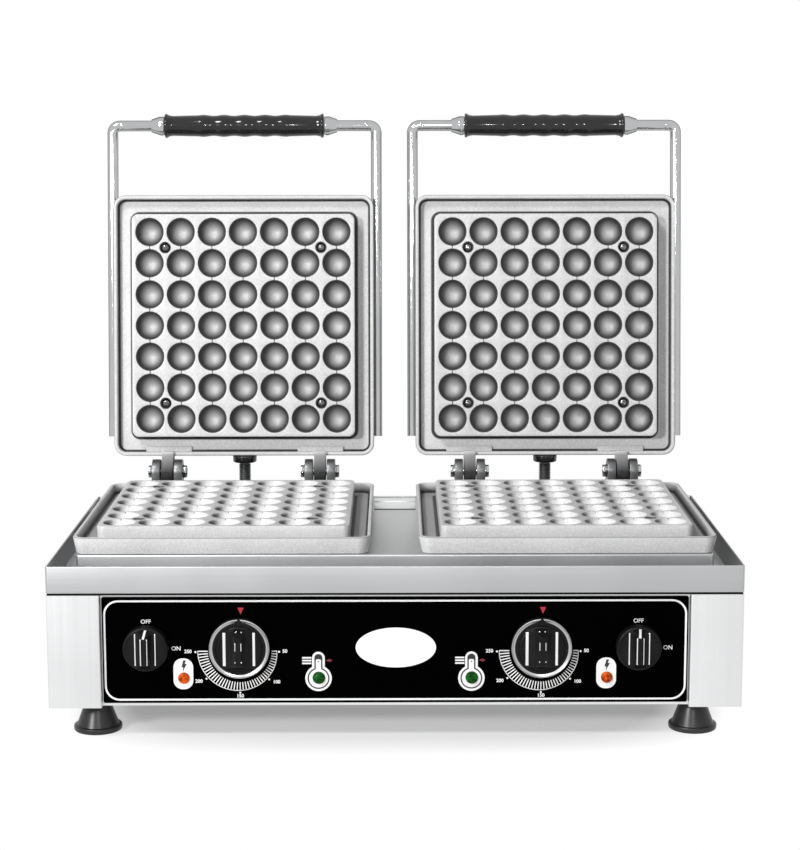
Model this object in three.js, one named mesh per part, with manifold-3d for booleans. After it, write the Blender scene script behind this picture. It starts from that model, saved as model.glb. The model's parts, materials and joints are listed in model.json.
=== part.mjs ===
// Double bubble waffle maker, in millimetres, +Z up, seen from the front along +Y.
// Two hinged pairs of cast plates stand on a stainless box with a drip tray.
// The lids stand open, leaning back on their stop screws.

import * as THREE from 'three';
import { mergeGeometries, mergeVertices } from 'three/addons/utils/BufferGeometryUtils.js';
import Module from 'manifold-3d';

const wasm = await Module();
wasm.setup();

// Driving sizes of the whole machine
const panSize = 255;
const panGap = 40.6;
const sideMargin = 14.7;
const footHeight = 28.5;
const panelHeight = 96.5;
const sealHeight = 2;
const trayHeight = 22.5;
const lidLean = 7.45;

// Stock, clearances and faceting
const sheet = 1.2;
const seat = 0.3;
const turningGap = 0.15;
const overrun = 4;
const fineSides = 12;
const roundSides = 10;
const midSides = 8;
const smallSides = 6;
const cornerSteps = 2;

// Cast pans and the bubble plates in them
const panCorner = 12;
const panDraft = 2.5;
const rimHeight = 15;
const rimWall = 3.5;
const channelDepth = 9.5;
const ledgeWidth = 6.7;
const bellyDepth = 12.5;
const bellyWall = 3;
const channelWidth = 15.3;
const plateCorner = 6;
const plateProud = 6.2;
const plateMargin = 2;
const plateSkin = 2.7;
const closedGap = 0.5;
const bubblePitch = 30.4;
const bubbleWeb = 3.1;
const bubbleSides = 8;
const bubbleWaistAngle = 50;

// Screwed seats of the plates: a recess for the head in the plate, a boss under it
const screwHoleRadius = 2.7;
const screwRecessRadius = 5.6;
const screwRecessDepth = 5;
const screwBossRadius = 5.5;

// Heating elements
const elementRadius = 3.6;
const elementSides = 6;
const elementClearance = 6.9;
const elementBendSteps = 3;
const elementRuns = 4;

// Hinges
const hingeSetback = 15.2;
const hingeRise = 2.3;
const hingeInset = 53;
const lugWidth = 11.5;
const lugRadius = 11.2;
const earWidth = 8;
const earRadius = 12;
const earGap = 1;
const boltRadius = 4;
const boltHeadRadius = 6.5;
const boltHeadWidth = 3.8;
const bracketBase = 4;
const ledgeThickness = 5;
const ledgeMargin = 3;
const padWidth = 45;
const padDepth = 5.5;
const padHeight = 2.5;

// Stop screws
const stopSetback = 14;
const stopRadius = 6;
const stopDrop = 30;
const stopBossRadius = 11;
const bufferRadius = 12.4;
const bufferFootRadius = 9;
const bufferHeight = 7;

// Lid cover and handle
const coverGap = 1.05;
const coverHeight = 21;
const coverCorner = 14;
const coverHoleRadius = 6;
const barRadius = 5.25;
const barOverhang = 2.5;
const barStart = 18.5;
const handleReach = 70;
const elbowRadius = 7;
const elbowSteps = 3;
const saddleLength = 16;
const saddleWidth = 6.9;
const saddleNearInset = 35;
const saddleFarInset = 53;
const gripLength = 157;
const gripEndRadius = 12.2;
const gripEndLength = 3;
const gripNeckRadius = 9.8;
const gripNeckInset = 8;
const gripPeakRadius = 10.9;
const gripValleyRadius = 9.9;
const gripPitch = 20.2;
const gripPeaks = 5;
const collarLength = 13;
const collarRadius = 9;
const collarNose = 6.4;

// Drip tray
const trayWall = 1.5;
const frontChannel = 49.5;
const deckStep = 1;
const panOverhang = 1;
const rearMargin = 3.5;
const deckSideMargin = 0.9;
const bellyClearance = 1.5;
const rearFlange = 14;

// Box under the tray
const postWidth = 44.5;
const panelRecess = 8;
const panelLap = 6;
const lipDepth = 14;
const sealInset = 1;
const sealWidth = 18;
const baseEdgeHeight = 10;
const ventLength = 46;
const ventWidth = 4;
const ventPitch = 11;
const ventCount = 5;
const baseVentSpread = 260;
const rearVentSpread = 230;
const rearVentHeight = 62;

// Control fascia and what stands in it
const fasciaThickness = 2;
const fasciaMargin = 0.7;
const fasciaBottom = 2.6;
const fasciaTop = 3;
const knobHeight = 51;
const lampHeight = 24.3;
const shaftRadius = 3;
const shaftHole = 4;
const shaftSink = 8;
const leftSwitchInset = 82;
const rightSwitchInset = 87;
const leftThermostatInset = 160;
const rightThermostatInset = 168;
const powerLampInset = 113;
const heatLampInset = 226;
const switchKnobRadius = 18.9;
const switchRimHeight = 9;
const switchGripHeight = 18;
const switchGripFoot = 17;
const switchGripTop = 5;
const skirtRadius = 25.4;
const skirtHeight = 6;
const skirtBevel = 2.8;
const thermostatKnobRadius = 19.5;
const thermostatRimHeight = 8;
const thermostatGripHeight = 19;
const thermostatGripFoot = 25;
const thermostatGripTop = 5;
const gripEndMargin = 3;
const gripTopShare = 0.72;
const pointerWidth = 4;
const pointerDepth = 3;
const powerLampRadius = 5.6;
const heatLampRadius = 6.1;
const lampBarrelRadius = 4.4;
const lampDome = 3;
const lampBarrelLength = 22;
const thermostatBody = 38;
const thermostatLength = 34;
const switchBody = 44;
const switchLength = 40;
const switchPoles = 3;
const thermostatPoles = 2;
const terminalLength = 72;
const terminalDepth = 24;
const terminalHeight = 20;
const terminalPoles = 5;
const poleGap = 4;
const glandX = -150;
const glandHeight = 40;
const glandRadius = 9;
const glandBore = 5.5;
const glandNutRadius = 13;
const glandNutWidth = 6;
const glandLength = 22;

// Rubber feet
const footSideInset = 36;
const footInset = 35;
const footFlangeRadius = 20.6;
const footFlangeHeight = 6;
const footWaistRadius = 17;
const footWaistHeight = 10.5;
const footNeckRadius = 11.8;
const footNeckHeight = 21;

// Places that follow from the sizes above
const unitSpacing = panSize + panGap;
const halfBody = sideMargin + panSize + panGap / 2;
const panelTop = footHeight + panelHeight;
const trayBottom = panelTop + sealHeight;
const trayTop = trayBottom + trayHeight;
const deckTop = trayTop - deckStep;
const panFront = frontChannel - panOverhang;
const panRear = panFront + panSize;
const bodyDepth = panRear + rearMargin;
const panCentreY = panFront + panSize / 2;
const halfPan = panSize / 2;
const halfPlate = halfPan - rimWall - channelWidth;
const deckHalf = unitSpacing / 2 + halfPan - panDraft - deckSideMargin;
const channelFloor = rimHeight - channelDepth;
const plateThickness = plateProud + channelDepth - seat;
const plateTop = rimHeight + plateProud;
const bubbleCount = Math.floor(2 * (halfPlate - plateMargin) / bubblePitch);
const bubbleRadius = (bubblePitch - bubbleWeb) / 2;
const bubbleDepth = plateThickness - plateSkin;
const ledgeHalf = halfPlate - ledgeWidth;
const bellyHalf = ledgeHalf + bellyWall;
const hingeY = panRear + hingeSetback;
const hingeZ = deckTop + plateTop + hingeRise;
const lidRim = plateProud + closedGap - hingeRise;
const lidBack = lidRim + rimHeight;
const ledgeTop = hingeZ - earRadius - bracketBase - seat;
const barDepth = lidBack + barRadius + seat;
const barHalf = halfPan + barOverhang;
const saddleInner = barHalf - barRadius - saddleWidth;
const hingeOffset = halfPan - hingeInset;
const screwOffset = bubblePitch * (bubbleCount - 2) / 2;
const fasciaHalf = halfBody - postWidth - fasciaMargin;
const footX = halfBody - footSideInset;
const leftSwitchX = leftSwitchInset - halfBody;
const rightSwitchX = halfBody - rightSwitchInset;
const leftThermostatX = leftThermostatInset - halfBody;
const rightThermostatX = halfBody - rightThermostatInset;
const powerLampX = halfBody - powerLampInset;
const heatLampX = halfBody - heatLampInset;
const fasciaFace = panelRecess - fasciaThickness;
const panelBack = panelRecess + sheet;
const lidTurn = THREE.MathUtils.degToRad(-(90 + lidLean));
const lean = THREE.MathUtils.degToRad(lidLean);
const heelHeight = hingeSetback * Math.cos(lean) - lidRim * Math.sin(lean);

const finishes = {
  steel: { color: 0xc9cbcd, roughness: 0.34, metalness: 0.9 },
  cast: { color: 0xb9bbbd, roughness: 0.55, metalness: 0.6 },
  chrome: { color: 0xe2e4e6, roughness: 0.14, metalness: 1 },
  fascia: { color: 0x08080a, roughness: 0.18, metalness: 0 },
  knob: { color: 0x111113, roughness: 0.35, metalness: 0 },
  rubber: { color: 0x1b1b1d, roughness: 0.75, metalness: 0 },
  amber: { color: 0xd8641a, roughness: 0.2, metalness: 0 },
  green: { color: 0x14703a, roughness: 0.2, metalness: 0 },
  element: { color: 0x5d5a57, roughness: 0.5, metalness: 0.7 },
  ceramic: { color: 0xd9d4c6, roughness: 0.6, metalness: 0 },
};

// Turns a closed geometry into a solid that can be joined and cut.
function solidOf(geometry) {
  const plain = geometry.clone();
  plain.deleteAttribute('normal');
  plain.deleteAttribute('uv');
  const merged = mergeVertices(plain, 1e-4);
  const kept = [];
  const corners = merged.index.array;
  for (let i = 0; i < corners.length; i += 3) {
    const [a, b, c] = [corners[i], corners[i + 1], corners[i + 2]];
    if (a !== b && b !== c && c !== a) kept.push(a, b, c);
  }
  const vertProperties = new Float32Array(merged.attributes.position.array);
  const triVerts = new Uint32Array(kept);
  return new wasm.Manifold(new wasm.Mesh({ numProp: 3, vertProperties, triVerts }));
}

function geometryOf(solid) {
  const mesh = solid.getMesh();
  const geometry = new THREE.BufferGeometry();
  geometry.setAttribute('position', new THREE.BufferAttribute(new Float32Array(mesh.vertProperties), 3));
  geometry.setIndex(new THREE.BufferAttribute(new Uint32Array(mesh.triVerts), 1));
  return geometry;
}

function join(first, ...others) {
  return geometryOf(others.reduce((solid, other) => solid.add(solidOf(other)), solidOf(first)));
}

function cut(first, ...others) {
  return geometryOf(others.reduce((solid, other) => solid.subtract(solidOf(other)), solidOf(first)));
}

// Joins geometries that don't touch each other into one, for a group of equal pieces or cutters.
function gather(pieces) {
  return mergeGeometries(pieces.map((piece) => {
    const plain = piece.index ? piece.toNonIndexed() : piece.clone();
    plain.deleteAttribute('normal');
    plain.deleteAttribute('uv');
    return plain;
  }));
}

function box(x0, x1, y0, y1, z0, z1) {
  const geometry = new THREE.BoxGeometry(x1 - x0, y1 - y0, z1 - z0);
  return geometry.translate((x0 + x1) / 2, (y0 + y1) / 2, (z0 + z1) / 2);
}

// A round piece on the Z axis from (radius, height) pairs.
function turned(profile, sides = roundSides) {
  const points = profile.map(([radius, height]) => new THREE.Vector2(radius, height));
  return new THREE.LatheGeometry(points, sides).rotateX(Math.PI / 2);
}

function rod(radius, z0, z1, sides = roundSides) {
  return turned([[0, z0], [radius, z0], [radius, z1], [0, z1]], sides);
}

// Corner radius of a faceted bore in which a shaft of the given radius turns freely.
const turningBore = (radius, sides) => (radius + turningGap) / Math.cos(Math.PI / sides);

// Lays a piece made on the Z axis along X, or along -Y so that its top faces the front.
const alongX = (geometry) => geometry.rotateY(Math.PI / 2);
const toFront = (geometry) => geometry.rotateX(Math.PI / 2);

function roundedSquare(half, radius) {
  const shape = new THREE.Shape();
  const flat = half - radius;
  shape.moveTo(-flat, -half);
  shape.lineTo(flat, -half);
  shape.absarc(flat, -flat, radius, -Math.PI / 2, 0);
  shape.absarc(flat, flat, radius, 0, Math.PI / 2);
  shape.absarc(-flat, flat, radius, Math.PI / 2, Math.PI);
  shape.absarc(-flat, -flat, radius, Math.PI, Math.PI * 1.5);
  shape.closePath();
  return shape;
}

function prism(shape, z0, z1, steps = cornerSteps) {
  const options = { depth: z1 - z0, bevelEnabled: false, curveSegments: steps };
  return new THREE.ExtrudeGeometry(shape, options).translate(0, 0, z0);
}

// Draws the end of a prism at height z in by a draft.
function drafted(geometry, z, half, draft) {
  const place = geometry.attributes.position;
  const share = (half - draft) / half;
  for (let i = 0; i < place.count; i += 1) {
    if (Math.abs(place.getZ(i) - z) < seat / 2) {
      place.setXY(i, place.getX(i) * share, place.getY(i) * share);
    }
  }
  return geometry;
}

// Places in a square pattern of four.
function fourPlaces(offset) {
  return [[-1, -1], [1, -1], [-1, 1], [1, 1]].map(([x, y]) => [x * offset, y * offset]);
}

// The bubble plate, face up, its underside at z = 0 and its centre at the origin.
// Each cavity is half a ball: a mouth, a waist and a pole, turned in one profile.
function bubblePlate() {
  const waist = THREE.MathUtils.degToRad(bubbleWaistAngle);
  const lip = overrun / 2;
  const cavityProfile = [
    [0, -bubbleDepth],
    [bubbleRadius * Math.cos(waist), -bubbleDepth * Math.sin(waist)],
    [bubbleRadius, 0],
    [bubbleRadius, lip],
    [0, lip],
  ];
  const half = bubblePitch * (bubbleCount - 1) / 2;
  const cutters = [];
  for (let row = 0; row < bubbleCount; row += 1) {
    for (let column = 0; column < bubbleCount; column += 1) {
      const cavity = turned(cavityProfile, bubbleSides);
      cutters.push(cavity.translate(column * bubblePitch - half, row * bubblePitch - half, plateThickness));
    }
  }
  for (const [x, y] of fourPlaces(screwOffset)) {
    const top = plateThickness + overrun;
    const shoulder = plateThickness - screwRecessDepth;
    const profile = [[0, -overrun], [screwHoleRadius, -overrun], [screwHoleRadius, shoulder],
      [screwRecessRadius, shoulder], [screwRecessRadius, top], [0, top]];
    cutters.push(turned(profile, smallSides).translate(x, y, 0));
  }
  const blank = prism(roundedSquare(halfPlate, plateCorner), 0, plateThickness, 1);
  return cut(blank, gather(cutters));
}

// The casting, its back face at z = 0, rim up, centre at the origin.
// A channel runs round inside the rim, and a belly for the heating element hangs below.
// Four bosses in the belly carry the plate together with the ledge.
function panCasting() {
  const innerHalf = halfPan - rimWall;
  const outside = drafted(prism(roundedSquare(halfPan, panCorner), 0, rimHeight), 0, halfPan, panDraft);
  const belly = box(-bellyHalf, bellyHalf, -bellyHalf, bellyHalf, -bellyDepth, channelFloor / 2);
  const floorTop = bellyWall - bellyDepth;
  const channel = prism(roundedSquare(innerHalf, panCorner - rimWall), channelFloor, rimHeight + overrun);
  const hollow = box(-ledgeHalf, ledgeHalf, -ledgeHalf, ledgeHalf, floorTop, channelFloor + overrun);
  const bosses = fourPlaces(screwOffset).map(([x, y]) => (
    rod(screwBossRadius, floorTop - seat, channelFloor, smallSides).translate(x, y, 0)));
  return join(cut(join(outside, belly), channel, hollow), gather(bosses));
}

// A tube bent to and fro under the plate; its top touches z = 0.
function heatingElement() {
  const half = screwOffset - screwBossRadius - elementRadius - elementClearance;
  const pitch = 2 * half / (elementRuns - 1);
  const bend = pitch / 2;
  const points = [];
  for (let run = 0; run < elementRuns; run += 1) {
    const x = run * pitch - half;
    const sense = run % 2 === 0 ? 1 : -1;
    points.push(new THREE.Vector3(x, -sense * half, 0));
    points.push(new THREE.Vector3(x, sense * half, 0));
    if (run < elementRuns - 1) {
      for (let step = 1; step < elementBendSteps; step += 1) {
        const angle = Math.PI * step / elementBendSteps;
        const y = sense * (half + bend * Math.sin(angle));
        points.push(new THREE.Vector3(x + bend - bend * Math.cos(angle), y, 0));
      }
    }
  }
  return tubeThrough(points, elementRadius, elementSides).translate(0, 0, -elementRadius - seat);
}

// A path whose even steps fall on the given stations, however far apart they lie.
class StationPath extends THREE.Curve {
  constructor(stations) {
    super();
    this.stations = stations;
  }

  stationAt(t, shift) {
    const last = this.stations.length - 1;
    return this.stations[THREE.MathUtils.clamp(Math.round(t * last) + shift, 0, last)];
  }

  getPointAt(t) {
    return this.stationAt(t, 0).clone();
  }

  getTangentAt(t) {
    const here = this.stationAt(t, 0);
    const arriving = here.clone().sub(this.stationAt(t, -1)).normalize();
    const leaving = this.stationAt(t, 1).clone().sub(here).normalize();
    return arriving.add(leaving).normalize();
  }
}

function tubeThrough(stations, radius, sides) {
  const section = new THREE.Shape().absarc(0, 0, radius, 0, 2 * Math.PI);
  const steps = stations.length - 1;
  const extrudePath = new StationPath(stations);
  const options = { steps, curveSegments: sides / 2, bevelEnabled: false, extrudePath };
  return new THREE.ExtrudeGeometry(section, options);
}

// Lower casting: the pan with two ledges for the hinge brackets and a boss for the stop screw.
function lowerPan() {
  const bottom = deckTop;
  const top = ledgeTop - bottom;
  const rear = halfPan - panDraft - rimWall / 2;
  const bracketWidth = lugWidth + 2 * (earGap + earWidth);
  const pieces = [];
  for (const side of [-1, 1]) {
    const x = side * hingeOffset;
    const half = bracketWidth / 2 + ledgeMargin;
    pieces.push(box(x - half, x + half, rear, halfPan + hingeSetback + earRadius, top - ledgeThickness, top));
  }
  const stopY = halfPan + hingeSetback + stopSetback;
  pieces.push(box(-stopBossRadius, stopBossRadius, rear, stopY, top - ledgeThickness, top));
  pieces.push(rod(stopBossRadius, top - ledgeThickness, top, roundSides).translate(0, stopY, 0));
  const bore = rod(stopRadius + seat, top - ledgeThickness - overrun, top + overrun).translate(0, stopY, 0);
  return cut(join(panCasting(), ...pieces), bore);
}

// Lid casting, in the frame of the hinge axis with the lid closed: the pan upside down,
// hinge lugs that reach back to the axis, a low pad in the channel in front of each,
// and two saddles on each side for the handle bars.
function lidPan() {
  const centre = -hingeSetback - halfPan;
  const pan = panCasting().rotateY(Math.PI).translate(0, centre, lidBack);
  const pieces = [];
  const bores = [];
  for (const side of [-1, 1]) {
    const x = side * hingeOffset;
    const eye = alongX(rod(lugRadius, -lugWidth / 2, lugWidth / 2, fineSides)).translate(x, 0, 0);
    const root = -hingeSetback - panDraft - rimWall / 2;
    const arm = box(x - lugWidth / 2, x + lugWidth / 2, root, 0, 0, lugRadius);
    const padRear = -hingeSetback - rimWall / 2;
    const padFoot = lidBack - channelFloor;
    pieces.push(eye, arm, box(x - padWidth / 2, x + padWidth / 2, padRear - rimWall / 2 - padDepth, padRear,
      padFoot - padHeight, padFoot + seat));
    const bore = rod(turningBore(boltRadius, midSides), -lugWidth, lugWidth, midSides);
    bores.push(alongX(bore).translate(x, 0, 0));
    const bar = side * barHalf;
    const inner = side * saddleInner;
    for (const place of [saddleNearInset, panSize - saddleFarInset]) {
      const y = -hingeSetback - place;
      pieces.push(box(Math.min(inner, bar), Math.max(inner, bar), y - saddleLength / 2, y + saddleLength / 2,
        lidBack - rimHeight / 2, barDepth + barRadius));
    }
    const notch = rod(barRadius + seat, -panSize, panSize).rotateX(Math.PI / 2);
    bores.push(notch.translate(bar, centre, barDepth));
  }
  return cut(join(pan, ...pieces), ...bores);
}

// Stainless cover on the back of the lid: a drawn box with rounded corners and a lead hole at the heel.
function lidCover() {
  const centre = -hingeSetback - halfPan;
  const half = saddleInner - coverGap;
  const base = lidBack + seat;
  const top = base + coverHeight;
  const outside = drafted(prism(roundedSquare(half, coverCorner), base, top), top, half, panDraft);
  const insideHalf = half - sheet;
  const inside = drafted(prism(roundedSquare(insideHalf, coverCorner - sheet), base - overrun, top - sheet),
    top - sheet, insideHalf, panDraft);
  const hole = rod(coverHoleRadius, -2 * overrun, 2 * overrun).rotateX(Math.PI / 2);
  hole.translate(0, half, base + coverHeight / 2);
  return cut(outside, inside, hole).translate(0, centre, 0);
}

// Handle frame: one bar along both sides of the lid and across in front of it.
function handleFrame() {
  const half = barHalf;
  const near = -hingeSetback - barStart;
  const far = -hingeSetback - panSize - handleReach;
  const points = [new THREE.Vector3(-half, near, 0), new THREE.Vector3(-half, far + elbowRadius, 0)];
  const bends = [[-half + elbowRadius, Math.PI], [half - elbowRadius, Math.PI * 1.5]];
  for (const [x, start] of bends) {
    for (let step = 0; step <= elbowSteps; step += 1) {
      if (start === Math.PI && step === 0) continue;
      const angle = start + Math.PI / 2 * step / elbowSteps;
      const y = far + elbowRadius + elbowRadius * Math.sin(angle);
      points.push(new THREE.Vector3(x + elbowRadius * Math.cos(angle), y, 0));
    }
  }
  points.push(new THREE.Vector3(half, near, 0));
  return tubeThrough(points, barRadius, midSides).translate(0, 0, barDepth);
}

// Black grip, bored for the bar: a flange at each end, and finger waves along its middle.
function handleGrip() {
  const bore = barRadius + seat;
  const half = gripLength / 2;
  const neck = half - gripNeckInset;
  const profile = [[bore, -half], [gripEndRadius, -half], [gripEndRadius, gripEndLength - half],
    [gripNeckRadius, -neck]];
  const last = 2 * (gripPeaks - 1);
  for (let step = 0; step <= last; step += 1) {
    const radius = step % 2 === 0 ? gripPeakRadius : gripValleyRadius;
    profile.push([radius, gripPitch * (step - last / 2) / 2]);
  }
  profile.push([gripNeckRadius, neck], [gripEndRadius, half - gripEndLength], [gripEndRadius, half],
    [bore, half], [bore, -half]);
  return alongX(turned(profile, midSides));
}

// Coned collar that holds the grip's right end on its bar, wide end to the grip.
function handleCollar() {
  const bore = barRadius + seat;
  const start = gripLength / 2 + seat;
  const profile = [[bore, 0], [collarRadius, 0], [collarRadius, collarLength / 2],
    [collarNose, collarLength], [bore, collarLength], [bore, 0]];
  return alongX(turned(profile, midSides)).translate(start, 0, 0);
}

// Clevis bracket with its bolt axis at the origin.
function hingeBracket() {
  const half = lugWidth / 2 + earGap + earWidth;
  const base = -earRadius - seat;
  const body = join(
    box(-half, half, -earRadius, earRadius, base - bracketBase, 0),
    alongX(rod(earRadius, -half, half, midSides)),
  );
  const slot = lugWidth / 2 + earGap;
  return cut(body, box(-slot, slot, -2 * earRadius, 2 * earRadius, base, 2 * earRadius),
    alongX(rod(turningBore(boltRadius, midSides), -2 * half, 2 * half, midSides)));
}

// Hinge bolt through the clevis: a round head outside one ear and a nut outside the other.
function hingeBolt() {
  const half = lugWidth / 2 + earGap + earWidth + seat;
  const end = half + boltHeadWidth;
  const profile = [[0, -end], [boltHeadRadius, -end], [boltHeadRadius, -half], [boltRadius, -half],
    [boltRadius, half], [boltHeadRadius, half], [boltHeadRadius, end], [0, end]];
  return alongX(turned(profile, midSides));
}

// Stop screw; z = 0 is the top of the ledge that it goes through.
function stopScrew(height) {
  return rod(stopRadius, -stopDrop, height);
}

// Buffer pressed on the screw: it widens upwards to the face that the lid rests on.
function stopBuffer() {
  return turned([[0, 0], [bufferFootRadius, 0], [bufferRadius, bufferHeight * 0.6],
    [bufferRadius, bufferHeight], [0, bufferHeight]]);
}

function topTray() {
  const floor = trayBottom + sheet;
  const inner = halfBody - trayWall;
  const rearInside = bodyDepth - trayWall;
  const outside = box(-halfBody, halfBody, 0, bodyDepth, trayBottom, trayTop);
  const inside = box(-inner, inner, trayWall, rearInside, floor, trayTop + overrun);
  const deck = box(-deckHalf, deckHalf, frontChannel, rearInside, trayBottom, deckTop);
  const under = [trayBottom - overrun, deckTop - sheet];
  const deckInner = deckHalf - sheet;
  const hollow = box(-deckInner, deckInner, frontChannel + sheet, rearInside, floor, under[1]);
  const rearEdge = bodyDepth - rearFlange;
  const mouth = box(-deckInner, deckInner, frontChannel + sheet, rearEdge, under[0], floor + sheet);
  const half = bellyHalf + bellyClearance;
  const windows = [-1, 1].map((side) => {
    const window = box(-half, half, -half, half, under[1] - overrun, deckTop + overrun);
    return window.translate(side * unitSpacing / 2, panCentreY, 0);
  });
  return cut(join(cut(outside, inside), deck), hollow, mouth, ...windows);
}

function traySeal() {
  const half = halfBody - sealInset;
  const inner = half - sealWidth;
  const front = sealInset + sealWidth;
  const rear = bodyDepth - sealInset;
  const outside = box(-half, half, sealInset, rear, panelTop, trayBottom);
  const inside = box(-inner, inner, front, rear - sealWidth, panelTop - overrun, trayBottom + overrun);
  return cut(outside, inside);
}

// Right side panel: a wall folded round into a post at the front and at the rear, with a flange on top.
function sidePanel() {
  const post = halfBody - postWidth;
  const wall = box(halfBody - sheet, halfBody, 0, bodyDepth, footHeight, panelTop);
  const flange = box(halfBody - sealWidth, halfBody, 0, bodyDepth, panelTop - sheet, panelTop);
  const folds = [[0, panelRecess], [bodyDepth, -panelRecess]].flatMap(([face, depth]) => {
    const inward = Math.sign(depth);
    const skin = [face, face + inward * sheet].sort((a, b) => a - b);
    const turnIn = [face, face + depth].sort((a, b) => a - b);
    return [
      box(post, halfBody, skin[0], skin[1], footHeight, panelTop),
      box(post, post + sheet, turnIn[0], turnIn[1], footHeight, panelTop),
      box(post, halfBody, turnIn[0], turnIn[1], panelTop - sheet, panelTop),
    ];
  });
  return join(wall, flange, ...folds);
}

// Panel between the posts, with a lip at its top that carries the seal.
function lippedPanel() {
  const half = halfBody - postWidth + panelLap;
  const face = box(-half, half, panelRecess, panelBack, footHeight, panelTop);
  const lip = box(-half, half, panelRecess, panelRecess + lipDepth, panelTop - sheet, panelTop);
  return join(face, lip);
}

// Centres of everything that passes through the front panel, with the radius of its hole.
function panelHoles() {
  const knobZ = footHeight + knobHeight;
  const lampZ = footHeight + lampHeight;
  const knobs = [leftSwitchX, leftThermostatX, rightThermostatX, rightSwitchX];
  const lamps = [-powerLampX, -heatLampX, heatLampX, powerLampX];
  return [
    ...knobs.map((x) => ({ x, z: knobZ, radius: shaftHole })),
    ...lamps.map((x) => ({ x, z: lampZ, radius: lampBarrelRadius + seat })),
  ];
}

function holeCutters() {
  return gather(panelHoles().map(({ x, z, radius }) => (
    toFront(rod(radius, -panelBack - overrun, overrun - fasciaFace, smallSides)).translate(x, 0, z))));
}

function frontPanel() {
  return cut(lippedPanel(), holeCutters());
}

function fascia() {
  const bottom = footHeight + fasciaBottom;
  const plate = box(-fasciaHalf, fasciaHalf, fasciaFace, panelRecess, bottom, panelTop - fasciaTop);
  return cut(plate, holeCutters());
}

function ventSlots(cross) {
  const slots = [];
  for (const side of [-1, 1]) {
    for (let i = 0; i < ventCount; i += 1) {
      const place = (i - (ventCount - 1) / 2) * ventPitch;
      slots.push(cross(side, place));
    }
  }
  return gather(slots);
}

function rearPanel() {
  const blank = lippedPanel().rotateZ(Math.PI).translate(0, bodyDepth, 0);
  const slots = ventSlots((side, place) => {
    const x = side * rearVentSpread / 2;
    const z = footHeight + rearVentHeight + place;
    return box(x - ventLength / 2, x + ventLength / 2, bodyDepth - panelBack - overrun, bodyDepth,
      z - ventWidth / 2, z + ventWidth / 2);
  });
  const hole = toFront(rod(glandRadius + seat, -bodyDepth, panelBack + overrun - bodyDepth, midSides));
  return cut(blank, slots, hole.translate(glandX, 0, footHeight + glandHeight));
}

function basePlate() {
  const half = halfBody - sheet;
  const front = panelBack;
  const rear = bodyDepth - panelBack;
  const outside = box(-half, half, front, rear, footHeight, footHeight + baseEdgeHeight);
  const inside = box(sheet - half, half - sheet, front + sheet, rear - sheet, footHeight + sheet,
    footHeight + baseEdgeHeight + overrun);
  const slots = ventSlots((side, place) => {
    const x = side * baseVentSpread / 2;
    const y = bodyDepth / 2 + place;
    return box(x - ventLength / 2, x + ventLength / 2, y - ventWidth / 2, y + ventWidth / 2,
      footHeight - overrun, footHeight + sheet + overrun);
  });
  return cut(outside, inside, slots);
}

function foot() {
  return turned([[0, 0], [footFlangeRadius, 0], [footFlangeRadius, footFlangeHeight],
    [footWaistRadius, footWaistHeight], [footNeckRadius, footNeckHeight], [footNeckRadius, footHeight],
    [0, footHeight]], roundSides);
}

// A knob made face up on the Z axis: a round body with a tapered grip bar across it and a blind bore.
function knob(radius, rim, height, gripFoot, gripTop, skirt = []) {
  const length = radius - gripEndMargin;
  const shape = new THREE.Shape();
  shape.moveTo(-gripFoot / 2, rim - sheet);
  shape.lineTo(gripFoot / 2, rim - sheet);
  shape.lineTo(gripTop / 2, height);
  shape.lineTo(-gripTop / 2, height);
  shape.closePath();
  const bar = new THREE.ExtrudeGeometry(shape, { depth: 2 * length, bevelEnabled: false });
  bar.rotateX(Math.PI / 2).translate(0, length, 0);
  const place = bar.attributes.position;
  for (let i = 0; i < place.count; i += 1) {
    if (place.getZ(i) > (rim + height) / 2) place.setY(i, place.getY(i) * gripTopShare);
  }
  const disc = turned([[0, 0], ...skirt, [radius, skirt.length ? skirtHeight : 0], [radius, rim - sheet],
    [radius - sheet, rim], [0, rim]], fineSides);
  return cut(join(disc, bar), rod(turningBore(shaftRadius, smallSides), -overrun, shaftSink, smallSides));
}

function switchKnob() {
  return knob(switchKnobRadius, switchRimHeight, switchGripHeight, switchGripFoot, switchGripTop);
}

// The thermostat knob has a bevelled skirt with the pointer notch at its top.
function thermostatKnob() {
  const skirt = [[skirtRadius, 0], [skirtRadius, skirtHeight - skirtBevel],
    [skirtRadius - skirtBevel, skirtHeight]];
  const whole = knob(thermostatKnobRadius, thermostatRimHeight, thermostatGripHeight,
    thermostatGripFoot, thermostatGripTop, skirt);
  const notch = box(-pointerWidth / 2, pointerWidth / 2, skirtRadius - pointerDepth,
    skirtRadius + overrun, skirtHeight / 2, skirtHeight + overrun);
  return cut(whole, notch);
}

// Signal lamp: domed lens in front of the fascia, its flange on it and its barrel through it.
function lamp(radius) {
  return turned([[0, -lampBarrelLength], [lampBarrelRadius, -lampBarrelLength], [lampBarrelRadius, 0],
    [radius, 0], [radius, sheet], [radius * gripTopShare, lampDome], [0, lampDome + sheet / 2]],
    smallSides);
}

// Box of a switch or thermostat behind the panel; its front face is at z = 0, its shaft points up.
function controlBody(size, length, poles) {
  const half = size / 2;
  const block = box(-half, half, -half, half, -length, 0);
  const shaftTop = panelBack - fasciaFace + shaftSink - sheet;
  const grooves = [];
  for (let i = 1; i < poles; i += 1) {
    const z = -length * i / poles;
    grooves.push(box(-half - overrun, sheet - half, -half - overrun, half + overrun, z - sheet, z + sheet));
    grooves.push(box(half - sheet, half + overrun, -half - overrun, half + overrun, z - sheet, z + sheet));
  }
  return cut(join(block, rod(shaftRadius, -sheet, shaftTop, smallSides)), gather(grooves));
}

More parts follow.
